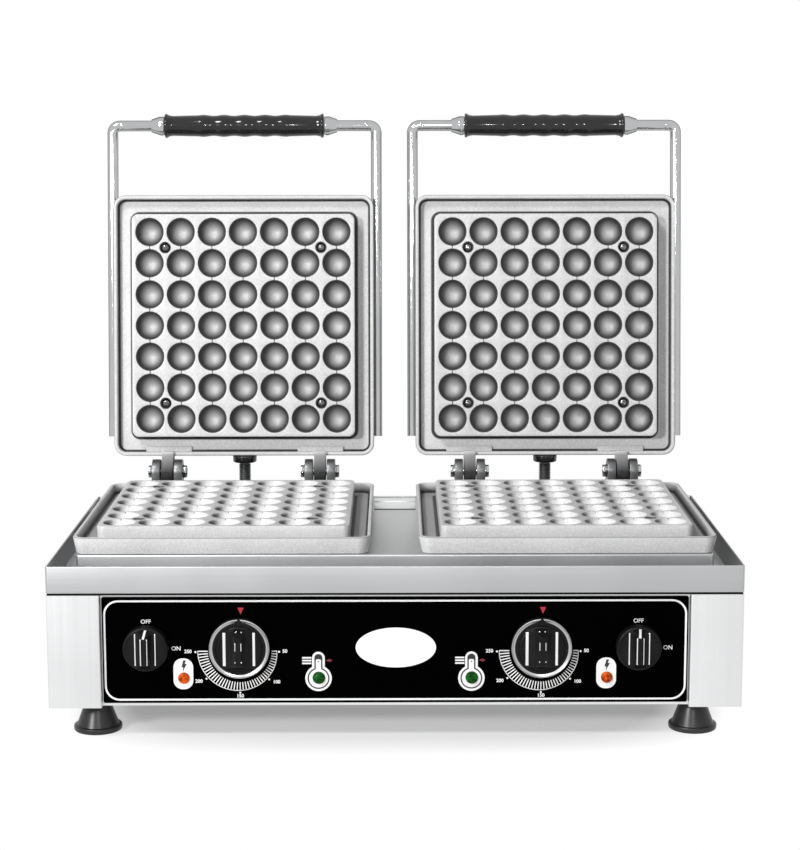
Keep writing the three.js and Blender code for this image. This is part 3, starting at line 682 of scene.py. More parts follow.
    def piece(
        self,
        name: str,
        body: str,
        slot: str,
        finish: Finish,
        replaced: Iterable[str] = (),
        place: Matrix = IDENTITY,
    ) -> bpy.types.Object:
        """Ends the shape as one object.

        Args:
            name: Name of the piece.
            body: The body that it rides on.
            slot: The record's material slot.
            finish: Its finish.
            replaced: CAD nodes that it stands for.
            place: Where it goes, in millimetres.

        Returns:
            The object.
        """
        mesh = bpy.data.meshes.new(name)
        bmesh.ops.transform(self.mesh, matrix=Matrix.Scale(MM, 4) @ place, verts=self.mesh.verts)
        for face in self.mesh.faces:
            face.smooth = True
        self.mesh.to_mesh(mesh)
        self.mesh.free()
        mesh.set_sharp_from_angle(angle=CREASE)
        mesh.materials.append(finish.material())
        piece = bpy.data.objects.new(name, mesh)
        bpy.context.scene.collection.objects.link(piece)
        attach(piece, body)
        if replaced:
            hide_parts(*replaced)
        LOG.info("%s on %s: %d faces", name, body, len(mesh.polygons))
        return piece


def verts_of(made: Iterable[object]) -> list[bmesh.types.BMVert]:
    """The vertices among what an operator made."""
    return [item for item in made if isinstance(item, bmesh.types.BMVert)]


def edges_of(made: Iterable[object]) -> list[bmesh.types.BMEdge]:
    """The edges among what an operator made."""
    return [item for item in made if isinstance(item, bmesh.types.BMEdge)]


def spun(profile: Iterable[Pair], sides: int) -> bmesh.types.BMesh:
    """A mesh turned about the Z axis from (radius, height) pairs."""
    part = bmesh.new()
    verts = [part.verts.new((radius, 0, height)) for radius, height in profile]
    edges = [part.edges.new(pair) for pair in zip(verts, verts[1:])]
    bmesh.ops.spin(
        part, geom=verts + edges, cent=(0, 0, 0), axis=(0, 0, 1),
        angle=math.tau, steps=sides, use_merge=True,
    )
    return part


def rounded(
    part: bmesh.types.BMesh, geom: Sequence[object], radius: float, steps: int, kind: str = "EDGES"
) -> None:
    """Rounds edges off, or corners where kind is VERTICES."""
    bmesh.ops.bevel(
        part, geom=geom, offset=radius, offset_type="OFFSET", segments=steps,
        profile=0.5, affect=kind, material=-1,
    )


def thicken(part: bmesh.types.BMesh, step: Sequence[float]) -> None:
    """Gives a flat mesh its thickness, in the direction of a step."""
    grown = bmesh.ops.extrude_face_region(part, geom=list(part.faces))["geom"]
    bmesh.ops.translate(part, vec=step, verts=verts_of(grown))


def extruded(
    part: bmesh.types.BMesh, edges: Sequence[bmesh.types.BMEdge]
) -> tuple[list[bmesh.types.BMEdge], list[bmesh.types.BMVert]]:
    """Extrudes a loop of edges in place.

    Args:
        part: The mesh.
        edges: The loop.

    Returns:
        The new loop and its vertices.
    """
    grown = bmesh.ops.extrude_edge_only(part, edges=edges)["geom"]
    verts = verts_of(grown)
    new = set(verts)
    return [edge for edge in edges_of(grown) if new.issuperset(edge.verts)], verts


def corners_of(node: str) -> tuple[Vector, Vector]:
    """The lowest and highest corner of a CAD node, in millimetres."""
    low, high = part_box(node)
    return low / MM, high / MM


def middle_of(node: str) -> Vector:
    """The middle of a CAD node, in millimetres."""
    low, high = corners_of(node)
    return (low + high) / 2


@dataclass
class Studio:
    """Camera, floor and lights for the photograph's view."""

    focal: float = 2043.1
    frame_height: float = 850.0
    sensor: float = 36.0
    eye: tuple[float, float, float] = (0.00003, -1.84467, 0.5281)
    pitch: float = 8.956
    yaw: float = 0.146
    roll: float = -0.089
    sight: float = 60.0
    floor_size: float = 14.0
    aim_height: float = 0.25
    world_strength: float = 0.11
    shadow_share: float = 0.25
    shadow_reach: float = 0.45
    shadow_end: float = 1.1
    shadow_scale: tuple[float, float, float] = (3.5, 4.45, 1.0)

    def camera(self) -> None:
        """Places the camera."""
        yaw, pitch, roll = (math.radians(a) for a in (self.yaw, self.pitch, self.roll))
        ahead = Vector((
            math.sin(yaw) * math.cos(pitch), math.cos(yaw) * math.cos(pitch), -math.sin(pitch)
        ))
        level = Vector((math.cos(yaw), -math.sin(yaw), 0))
        upright = level.cross(ahead)
        right = level * math.cos(roll) + upright * math.sin(roll)
        up = upright * math.cos(roll) - level * math.sin(roll)
        lens = bpy.data.cameras.new("camera")
        lens.sensor_width = self.sensor
        lens.lens = self.sensor * self.focal / self.frame_height
        lens.clip_end = self.sight
        camera = bpy.data.objects.new("camera", lens)
        camera.matrix_world = (
            Matrix.Translation(self.eye) @ Matrix((right, up, -ahead)).transposed().to_4x4()
        )
        bpy.context.scene.collection.objects.link(camera)
        bpy.context.scene.camera = camera

    def whiten(self) -> None:
        """Shows the floor white to the camera and to mirrors, but for the machine's shadow."""
        bench = Bench(FLOOR.material())
        spot = bench.stretched(self.shadow_scale)
        across = bench.node("ShaderNodeSeparateXYZ", "X", {}, {"Vector": spot})
        along = bench.node("ShaderNodeSeparateXYZ", "Y", {}, {"Vector": spot})
        away = (across * across) ** 2.0 + (along * along) ** 2.0
        fade = bench.spread(away, self.shadow_reach, self.shadow_end)
        share = (fade * (1 - self.shadow_share) + self.shadow_share) * bench.seen()
        white = bench.node("ShaderNodeEmission", 0, {}, {"Color": (1, 1, 1, 1), "Strength": 1.0})
        lit = Socket(bench, bench.shader.outputs[0])
        mixed = bench.node("ShaderNodeMixShader", 0, {}, {0: share, 1: lit, 2: white})
        output = bench.tree.nodes["Material Output"]
        bench.feed(output.inputs["Surface"], mixed)

    def floor(self) -> None:
        """Lays the floor."""
        part = bmesh.new()
        bmesh.ops.create_grid(part, x_segments=1, y_segments=1, size=self.floor_size / 2)
        mesh = bpy.data.meshes.new("floor")
        part.to_mesh(mesh)
        part.free()
        mesh.materials.append(FLOOR.material())
        floor = bpy.data.objects.new("floor", mesh)
        bpy.context.scene.collection.objects.link(floor)

    def world(self) -> None:
        """Lights the room evenly and shows it white."""
        world = bpy.data.worlds.new("room")
        bpy.context.scene.world = world
        bench = Bench(world, "Background")
        inputs = {"Value": bench.seen(), "To Min": self.world_strength, "To Max": 1.0}
        strength = bench.node("ShaderNodeMapRange", 0, {"clamp": True}, inputs)
        bench.shade(Color=(1, 1, 1, 1), Strength=strength)

    def lamp(self, name: str, place: Sequence[float], size: float, power: float) -> None:
        """Hangs a soft lamp that points at the machine.

        Args:
            name: Name of the lamp.
            place: Where it hangs, in metres.
            size: Width of its square.
            power: Power in watts.
        """
        data = bpy.data.lights.new(name, "AREA")
        data.size = size
        data.energy = power
        lamp = bpy.data.objects.new(name, data)
        aim = Vector((0, 0, self.aim_height)) - Vector(place)
        facing = aim.to_track_quat("-Z", "Y").to_matrix().to_4x4()
        lamp.matrix_world = Matrix.Translation(place) @ facing
        bpy.context.scene.collection.objects.link(lamp)

    def build(self) -> None:
        """Sets up everything round the machine."""
        bpy.context.scene.view_settings.view_transform = "Standard"
        self.camera()
        self.floor()
        self.whiten()
        self.world()
        self.lamp("key_lamp", (-1.4, -2.05, 1.0), 0.3, 36.5)
        self.lamp("high_lamp", (-1.1, -1.3, 2.15), 0.5, 32)
        self.lamp("spark_lamp", (0.1, -2.3, 0.95), 0.12, 7)
        LOG.info("studio ready")


@dataclass
class Cabinet:
    """The stainless box, its tray and feet."""

    sheet: float = 1.2
    fold: float = 1.6
    post: float = 44.5
    recess: float = 8.0
    tray_wall: float = 1.5
    tray_corner: float = 2.5
    tray_fillet: float = 1.5
    deck_front: float = 49.5
    deck_half: float = 271.9
    deck_drop: float = 1.0
    deck_corner: float = 3.0
    deck_round: float = 1.6
    deck_gap: float = 0.8
    bridge_half: float = 19.5
    bridge_start: float = 54.0
    bridge_fold: Pair = (33.0, 36.0)

    def side(self, name: str, hand: int) -> None:
        """Folds a side panel with its front and rear posts.

        Args:
            name: The CAD node.
            hand: -1 for the left side, 1 for the right.
        """
        low, high = corners_of(name)
        outer = high.x if hand > 0 else -low.x
        inner = outer - self.post
        part = bmesh.new()
        plan = [
            (inner, low.y + self.recess), (inner, low.y), (outer, low.y),
            (outer, high.y), (inner, high.y), (inner, high.y - self.recess),
        ]
        verts = [part.verts.new((x, y, low.z)) for x, y in plan]
        for pair in zip(verts, verts[1:]):
            part.edges.new(pair)
        rounded(part, verts[1:-1], self.fold, 4, "VERTICES")
        _, tops = extruded(part, list(part.edges))
        bmesh.ops.translate(part, vec=(0, 0, high.z - low.z), verts=tops)
        bmesh.ops.recalc_face_normals(part, faces=part.faces)
        bmesh.ops.solidify(part, geom=part.faces, thickness=self.sheet)
        shape = Shape().take(part, Matrix.Diagonal((hand, 1, 1, 1)))
        shape.piece(name.replace("panel", "shell"), "cabinet", "stainless", STAINLESS_Z_LIT, [name])

    def tray(self) -> None:
        """Draws the drip tray: wall with a rolled edge, channel and raised deck."""
        low, high = corners_of("top_tray")
        centre = (low + high) / 2
        rim = Ring(
            (high.x - low.x) / 2, (high.y - low.y) / 2, self.tray_corner, low.z, centre.x, centre.y
        )
        wall = self.tray_wall
        floor = low.z + self.sheet
        deck = high.z - self.deck_drop
        lip = wall / 2
        rolled = arc(-lip, high.z - lip, lip, 0, 180, 6)
        bend = self.tray_fillet
        fillet = arc(-wall - bend, floor + bend, bend, 0, -90, 4)
        rings = rim.spread([(0, low.z), *rolled, *fillet])
        rear = high.y - wall - self.deck_gap
        front = low.y + self.deck_front
        depth, middle = (rear - front) / 2, (rear + front) / 2
        foot = Ring(self.deck_half, depth, self.deck_corner, floor, 0, middle)
        bend = self.deck_round
        rise = arc(-bend, deck - bend, bend, 0, 90, 4)
        rings += foot.spread([(0.8, floor), (0, floor + 1.0), *rise])
        shape = Shape().stack(rings, steps=5)
        shape.piece("drip_tray", "cabinet", "stainless", STAINLESS_X_SHADED, ["top_tray"])
        half, start = self.bridge_half, self.bridge_start
        strip = Shape().block((-half, start, deck), (half, rear - 3.0, deck + 0.35), 0.1)
        near, far = self.bridge_fold
        strip.block((-half, start + near, deck), (half, start + far, deck + 1.3), 0.4)
        strip.piece("deck_bridge", "cabinet", "stainless", STAINLESS_Z_LIT)
        joint = Shape()
        for y, width in ((start - 3.4, 3.2), (rear - 2.8, 2.4)):
            joint.block((-half, y, deck - 0.2), (half, y + width, deck + 0.2), 0.05)
        joint.piece("deck_joint", "cabinet", "seal", SEAL)

    def foot(self, name: str) -> None:
        """Moulds a rubber foot."""
        low, high = corners_of(name)
        centre = (low + high) / 2
        profile = [
            (0, 0), (18.6, 0), *arc(18.9, 1.6, 1.6, -90, 0, 4), (20.5, 3.4),
            *arc(19.3, 3.8, 1.2, 10, 80, 3), (18.0, 5.2), (16.6, 8.6), (14.6, 14.0), (12.8, 19.0),
            (11.2, 24.0), (10.5, 28.3), (0, 28.3),
        ]
        shape = Shape().turned(profile, shift(centre.x, centre.y, low.z), 48)
        shape.piece(name + "_moulding", "cabinet", "foot_rubber", RUBBER, [name])

    def build(self) -> None:
        """Builds the box."""
        self.side("left_side_panel", -1)
        self.side("right_side_panel", 1)
        self.tray()
        for row in ("front", "rear"):
            for side in ("left", "right"):
                self.foot(f"foot_{row}_{side}")


@dataclass
class BubblePlate:
    """A plate with seven by seven half-round cavities, face up, its face at z = 0."""

    pitch: float = 30.4
    count: int = 7
    radius: float = 13.65
    depth: float = 12.7
    lip: float = 0.5
    sides: int = 24
    half: float = 108.7
    corner: float = 6.0
    thickness: float = 15.4
    screw_place: float = 76.0
    recess_radius: float = 5.9
    recess_depth: float = 5.0
    recess_land: float = 0.9
    groove_width: float = 1.1
    groove_depth: float = 1.0

    def cell(self) -> bmesh.types.BMesh:
        """One cavity in its square of land.

        Returns:
            The mesh, open round its border.
        """
        angles = [math.radians(a) for a in (9, 27, 47, 68, 90)]
        bowl = [(self.radius * math.cos(a), -self.depth * math.sin(a)) for a in angles]
        bowl[-1] = (0.0, -self.depth)
        mouth = [(self.radius + self.lip, 0.0), (self.radius + self.lip * 0.3, -self.lip * 0.3)]
        part = spun(mouth + bowl, self.sides)
        bmesh.ops.remove_doubles(part, verts=part.verts, dist=MERGE)
        rim = [edge for edge in part.edges if edge.is_boundary]
        reach = self.pitch / 2
        corners = [part.verts.new((x * reach, y * reach, reach)) for x, y in QUARTERS]
        square = [part.edges.new((a, b)) for a, b in zip(corners, corners[1:] + corners[:1])]
        cuts = self.sides // 4 - 1
        split = bmesh.ops.subdivide_edges(part, edges=square, cuts=cuts)["geom_split"]
        bmesh.ops.bridge_loops(part, edges=rim + edges_of(split))
        high = [vert for vert in part.verts if vert.co.z > reach / 2]
        bmesh.ops.translate(part, vec=(0, 0, -reach), verts=high)
        return part

    def field(self) -> bmesh.types.BMesh:
        """All the cavities, joined."""
        cell = self.cell()
        sheet = bpy.data.meshes.new("cell")
        cell.to_mesh(sheet)
        cell.free()
        part = bmesh.new()
        middle = (self.count - 1) / 2
        for row in range(self.count):
            for column in range(self.count):
                old = set(part.verts)
                part.from_mesh(sheet)
                new = [vert for vert in part.verts if vert not in old]
                step = ((column - middle) * self.pitch, (row - middle) * self.pitch, 0)
                bmesh.ops.translate(part, vec=step, verts=new)
        bpy.data.meshes.remove(sheet)
        bmesh.ops.remove_doubles(part, verts=part.verts, dist=0.01)
        return part

    def cut_grooves(self, part: bmesh.types.BMesh) -> None:
        """Cuts a narrow groove between neighbours along the depth of the plate."""
        middle = (self.count - 1) / 2
        lines = [(column - middle) * self.pitch for column in range(self.count)]
        gaps = [(row - middle + 0.5) * self.pitch for row in range(self.count - 1)]
        reach = self.pitch / 2 - self.radius + self.lip

        def on_line(vert: bmesh.types.BMVert) -> bool:
            """Whether a vertex lies on the way of a groove."""
            return (
                any(abs(vert.co.x - x) < 0.05 for x in lines)
                and any(abs(vert.co.y - y) < reach for y in gaps)
            )

        chosen = [edge for edge in part.edges if all(on_line(vert) for vert in edge.verts)]
        rounded(part, chosen, self.groove_width / 2, 2)
        for vert in part.verts:
            if on_line(vert) and vert.co.z > -self.groove_depth:
                vert.co.z = -self.groove_depth

    def cut_recesses(self, part: bmesh.types.BMesh) -> None:
        """Sinks the four recesses for the screw heads."""
        for x, y in QUARTERS:
            spot = Vector((x * self.screw_place, y * self.screw_place, 0))
            nearest = min(part.verts, key=lambda vert: (vert.co - spot).length)
            round_it = {v for face in nearest.link_faces for v in face.verts} - {nearest}
            bmesh.ops.delete(part, geom=[nearest], context="VERTS")
            edge = [e for e in part.edges if e.is_boundary and round_it.issuperset(e.verts)]
            for vert in round_it:
                away = vert.co - spot
                if away.length < self.recess_radius + self.recess_land:
                    vert.co = spot + away.normalized() * (self.recess_radius + self.recess_land)
            made = bmesh.ops.create_circle(
                part, segments=len(edge), radius=self.recess_radius,
                matrix=shift(*spot.xy, -self.recess_depth),
            )["verts"]
            loop = list({e for vert in made for e in vert.link_edges})
            bmesh.ops.bridge_loops(part, edges=edge + loop)
            bmesh.ops.translate(part, vec=(0, 0, self.recess_depth), verts=made)
            for radius, z in ((0.93, -0.4), (0.93, -self.recess_depth), (0.45, -self.recess_depth)):
                loop, verts = extruded(part, loop)
                for vert in verts:
                    away = vert.co - spot
                    away.z = 0
                    vert.co = spot + away.normalized() * self.recess_radius * radius
                    vert.co.z = z
            bmesh.ops.contextual_create(part, geom=loop)

    def close(self, part: bmesh.types.BMesh) -> None:
        """Grows the land to the rounded edge, and closes walls and underside."""
        reach = self.pitch * self.count / 2
        edge = reach - 0.01

        def border() -> list[bmesh.types.BMEdge]:
            """Edges round the outside."""
            return [
                e for e in part.edges if e.is_boundary
                and all(max(abs(v.co.x), abs(v.co.y)) > edge for v in e.verts)
            ]

        near = reach - self.pitch / 4
        corner = [e for e in border() if all(min(abs(v.co.x), abs(v.co.y)) > near for v in e.verts)]
        bmesh.ops.subdivide_edges(part, edges=corner, cuts=3)
        loop = border()
        outer = self.half
        steps = [
            (outer - 0.9, 0.0), (outer - 0.25, -0.25), (outer, -0.9),
            (outer, -self.thickness),
        ]
        for half, z in steps:
            loop, verts = extruded(part, loop)
            for vert in verts:
                x, y = vert.co.x, vert.co.y
                if abs(x) >= abs(y) - 1e-6:
                    x = math.copysign(half, x)
                if abs(y) >= abs(vert.co.x) - 1e-6:
                    y = math.copysign(half, y)
                flat = half - self.corner
                core = Vector((max(-flat, min(flat, x)), max(-flat, min(flat, y)), 0))
                lean = Vector((x, y, 0)) - core
                if abs(x) > flat and abs(y) > flat:
                    lean = lean.normalized() * self.corner
                vert.co = core + lean
                vert.co.z = z
        bmesh.ops.contextual_create(part, geom=loop)

    def mesh(self) -> bmesh.types.BMesh:
        """The whole plate.

        Returns:
            The closed mesh.
        """
        part = self.field()
        self.cut_recesses(part)
        self.cut_grooves(part)
        self.close(part)
        return part

    def paint_shade(
        self, piece: bpy.types.Object, place: Matrix, land: float = 0.0, shade_left_walls_only: bool = False
    ) -> None:
        """Marks painted shade on the cavities' steep walls, in the grooves and in the screw recesses.

        Args:
            piece: The finished plate.
            place: Where it was placed, in millimetres.
            land: Strength of the painted shade on the land and the rest of the plate outside the
                cavities.
            shade_left_walls_only: Whether the painted shade lies on the left-hand walls only, as shade
                from a lamp on the left.
        """
        mesh = piece.data
        marks = mesh.attributes.new("wall", "FLOAT", "POINT")
        back = place.inverted()
        turned_back = back.to_3x3()
        reach = self.pitch * self.count / 2 - 0.4
        for vert, normal in zip(mesh.vertices, mesh.vertex_normals):
            spot = back @ (vert.co / MM)
            inside = max(abs(spot.x), abs(spot.y)) < reach and -self.thickness < spot.z < -0.1
            lean = turned_back @ normal.vector
            # Painted shade on steep walls, on the left-hand walls only when asked, as shade from a lamp
            # on the left.
            side = min(1.0, max(0.0, (lean.x - 0.38) * 2.2)) if shade_left_walls_only else 1.0
            wall = min(1.0, 1.5 * side * math.sqrt(max(0.0, 1 - abs(lean.z))))
            cut = Vector((abs(spot.x), abs(spot.y))) - Vector((self.screw_place, self.screw_place))
            # Painted shade in the grooves and the screw recesses.
            if abs(spot.z + self.groove_depth) < 0.05:
                wall = 1.0
            elif cut.length < self.recess_radius:
                wall = 0.8
            marks.data[vert.index].value = wall if inside else land

    def screws(self, shape: Shape) -> Shape:
        """The four screw heads in the recesses.

        Args:
            shape: The shape that takes them.

        Returns:
            The same shape.
        """
        head = [
            (0, -1.0), (0.8, -1.0), (0.9, -0.4), *arc(0, -5.3, 5.3, 76, 33, 8), (4.5, -4.6), (0, -4.6),
        ]
        for x, y in QUARTERS:
            shape.turned(head, shift(x * self.screw_place, y * self.screw_place, -0.3), 24)
        return shape


@dataclass
class Casting:
    """A square pan with a channel inside its rim, its back at z = 0, rim up."""

    half: float = 127.5
    corner: float = 12.0
    draft: float = 2.5
    height: float = 15.0
    wall: float = 3.5
    floor: float = 5.5
    plate_half: float = 108.7
    plate_corner: float = 6.0
    # Width of the painted shadow line round the plate on the channel floor.
    gap: float = 2.6

    @property
    def outer(self) -> Ring:
        """The outline of the pan."""
        return Ring(self.half, self.half, self.corner, 0)

    @property
    def plate(self) -> Ring:
        """The outline of the plate that lies in it."""
        return Ring(self.plate_half, self.plate_half, self.plate_corner, 0)

    def rings(self) -> list[Ring]:
        """The rings of the pan from the middle of its back round the rim to its middle."""
        soft = 1.3
        rim = [
            *arc(-soft, self.height - soft, soft, 5, 90, 4),
            *arc(-self.wall + soft, self.height - soft, soft, 90, 175, 4),
        ]
        profile = [
            (-self.draft - 1.4, 0.0), (-self.draft - 0.4, 0.4), (-self.draft, 1.4), *rim,
            (-self.wall - 0.3, self.floor + 1.6), (-self.wall - 0.8, self.floor + 0.5),
            (-self.wall - 1.8, self.floor), (-self.wall - 2.6, self.floor),
        ]
        # These rings, and the last ring of the profile, bound the painted shadow lines on the channel
        # floor.
        gap = [(self.gap + 1.2, self.floor), (self.gap, self.floor), (-3.0, self.floor)]
        return self.outer.spread(profile) + self.plate.spread(gap)

    def paint_shade(self, piece: bpy.types.Object, place: Matrix, channel: float = 0.0) -> None:
        """Marks painted shade at the foot of the rim and in the gap round the plate, and darkens the
        hinge lugs.

        Args:
            piece: The finished casting.
            place: Where the pan was placed, in millimetres.
            channel: Strength of the painted shade on the channel's floor.
        """
        marks = piece.data.attributes.new("wall", "FLOAT", "POINT")
        back = place.inverted()
        for vert in piece.data.vertices:
            spot = back @ (vert.co / MM)
            out = self.outer.outside(spot)
            # Painted shade at the foot of the rim's inner wall, in the gap round the plate and on the
            # channel floor; the rim's outer top edge and what lies outside the pan are darkened too.
            foot = -self.wall - 1.9 < out < -self.wall - 0.2 and 1 < spot.z < self.height - 1.8
            gap = self.plate.outside(spot) < self.gap + 0.1 and spot.z > 1
            brim = out > -0.55 and spot.z > self.height - 0.9
            low = channel if out < -self.wall - 1.9 and spot.z > 1 else 0.0
            marks.data[vert.index].value = (
                1.0 if foot or gap or out > 1.5 else 0.55 if brim else low
            )

    def add(self, shape: Shape, place: Matrix = IDENTITY) -> Shape:
        """Adds the pan to a shape."""
        return shape.stack(self.rings(), place, 8)


@dataclass
class Hinge:
    """Sizes of a hinge: lid lug, clevis bracket and bolt."""

    spread: float = 74.5
    lug_width: float = 11.5
    lug_radius: float = 11.2
    lug_soft: float = 0.8
    ear_width: float = 8.0
    ear_radius: float = 12.0
    ear_gap: float = 1.0
    ear_soft: float = 0.7
    base: float = 4.0
    bolt_head: float = 6.5
    bolt_head_width: float = 3.8

    def bracket(self, node: str) -> None:
        """Builds a clevis bracket on its ledge."""
        low, high = corners_of(node)
        axis = Vector(((low.x + high.x) / 2, (low.y + high.y) / 2, high.z - self.ear_radius))
        place = Matrix.Translation(axis)
        shape = Shape()
        middle = self.lug_width / 2 + self.ear_gap + self.ear_width / 2
        bottom = low.z - axis.z
        radius, sunk = self.ear_radius, bottom + self.base / 2
        outline = [*arc(0, 0, radius, 0, 180, 18), (-radius, sunk), (radius, sunk)]
        for side in (-1, 1):
            shape.cheek(outline, self.ear_width, self.ear_soft, place @ shift(side * middle))
        half = (high.x - low.x) / 2
        shape.block(
            (-half, -radius, bottom), (half, radius, bottom + self.base), 0.6, place
        )
        shape.piece(f"{node}_clevis", "cabinet", "hinge_steel", HINGE_STEEL, [node])

    def bolt(self, node: str) -> None:
        """Builds a hinge bolt: hexagon head, shank and nut."""
        low, high = corners_of(node)
        centre = (low + high) / 2
        half = (high.x - low.x) / 2
        lay = Matrix.Translation(centre) @ turn(90, "Y")
        shape = Shape()
        inner = half - self.bolt_head_width
        shape.turned([(0, -half + 0.3), (3.9, -half + 0.3), (3.9, half - 0.8), (3.4, half - 0.2),
                      (0, half - 0.2)], lay, 24)
        for start in (-half + 0.1, inner + 0.7):
            shape.hexagon(self.bolt_head * 1.7, start, start + self.bolt_head_width - 0.9, lay)
        for start in (-inner - 0.7, inner):
            shape.turned([(0, start), (6.4, start), (6.4, start + 0.7), (0, start + 0.7)], lay, 24)
        shape.piece(f"{node}_hex", "cabinet", "chrome", CHROME, [node])


@dataclass
class StopScrew:
    """The threaded stop and its buffer."""

    radius: float = 6.0
    pitch: float = 1.75
    thread: float = 0.9
    lead: float = 0.8

    def build(self, side: str) -> None:
        """Builds the stop of one unit."""
        low, high = corners_of(f"stop_screw_{side}")
        centre = (low + high) / 2
        place = shift(centre.x, centre.y, low.z)
        length = high.z - low.z
        turns = int((length - 1.5) / self.pitch)
        profile: list[Pair] = [(0, 0), (self.radius - 1.1, 0)]
        root = self.radius - self.thread
        for i in range(turns):
            z = self.lead + i * self.pitch
            profile += [(root, z), (self.radius, z + self.pitch / 2)]
        profile += [(root, self.lead + turns * self.pitch), (root, length), (0, length)]
        body = f"stop_{side}"
        shape = Shape().turned(profile, place, 28)
        shape.piece(f"stop_thread_{side}", body, "chrome", HINGE_STEEL, [f"stop_screw_{side}"])
        low, high = corners_of(f"stop_buffer_{side}")
        top = high.z - low.z
        reach = (high.x - low.x) / 2
        buffer = [
            (0, 0), (reach - 2.4, 0), *arc(reach - 1.4, 1.2, 1.2, -70, 0, 4),
            *arc(reach - 1.0, top - 1.0, 1.0, 0, 90, 4), (0, top),
        ]
        shape = Shape().turned(buffer, shift(centre.x, centre.y, low.z), 32)
        shape.piece(f"stop_pad_{side}", body, "foot_rubber", GRIP, [f"stop_buffer_{side}"])


@dataclass
class LowerUnit:
    """The fixed half of a cooking unit."""

    side: str
    plate: BubblePlate
    casting: Casting
    hinge: Hinge
    ledge: float = 5.0
    ledge_margin: float = 3.0
    boss_radius: float = 11.0
    boss_bore: float = 6.4
    seat_gap: float = 0.05

    def pan(self) -> None:
        """Builds the lower casting with its ledges."""
        centre = middle_of(f"lower_plate_{self.side}")
        deck = corners_of("top_tray")[1].z - Cabinet.deck_drop
        place = shift(centre.x, centre.y, deck + self.seat_gap)
        shape = self.casting.add(Shape(), place)
        bracket_low, bracket_high = corners_of(f"hinge_bracket_{self.side}_outer")
        under, seat = bracket_low.z - self.ledge, bracket_low.z - self.seat_gap
        half = (bracket_high.x - bracket_low.x) / 2 + self.ledge_margin
        rear = bracket_high.y
        front = centre.y + self.casting.half - self.casting.draft - self.casting.wall / 2
        for hand in (-1, 1):
            x = centre.x + hand * self.hinge.spread
            shape.block((x - half, front, under), (x + half, rear, seat), 1.0)
        boss = middle_of(f"stop_screw_{self.side}")
        reach, bore, height = self.boss_radius, self.boss_bore, seat - under
        shape.block((boss.x - reach, front, under), (boss.x + reach, boss.y, seat), 0.8)
        ring = [(bore, 0), (reach - 0.4, 0), (reach, 0.5), (reach, height - 0.55),
                (reach - 0.4, height), (bore, height), (bore, 0)]
        shape.turned(ring, shift(boss.x, boss.y, under), 40)
        name = f"lower_pan_{self.side}"
        piece = shape.piece(
            f"lower_casting_{self.side}", "cabinet", "cast_aluminium", CAST, [name]
        )
        self.casting.paint_shade(piece, place, 0.4)

    def face(self) -> None:
        """Lays the bubble plate and its screws in the pan."""
        low, high = corners_of(f"lower_plate_{self.side}")
        place = shift((low.x + high.x) / 2, (low.y + high.y) / 2, high.z)
        shape = Shape().take(self.plate.mesh())
        name = f"lower_plate_{self.side}"
        piece = shape.piece(
            f"lower_bubbles_{self.side}", "cabinet", "cast_aluminium", LOWER_COAT, [name], place
        )
        self.plate.paint_shade(piece, place, 0.16, True)
        screws = self.plate.screws(Shape())
        screws.piece(f"lower_screws_{self.side}", "cabinet", "chrome", SCREW_STEEL, (), place)

    def build(self) -> None:
        """Builds the unit."""
        self.pan()
        self.face()
        for end in ("outer", "inner"):
            self.hinge.bracket(f"hinge_bracket_{self.side}_{end}")
            self.hinge.bolt(f"hinge_bolt_{self.side}_{end}")
        StopScrew().build(self.side)


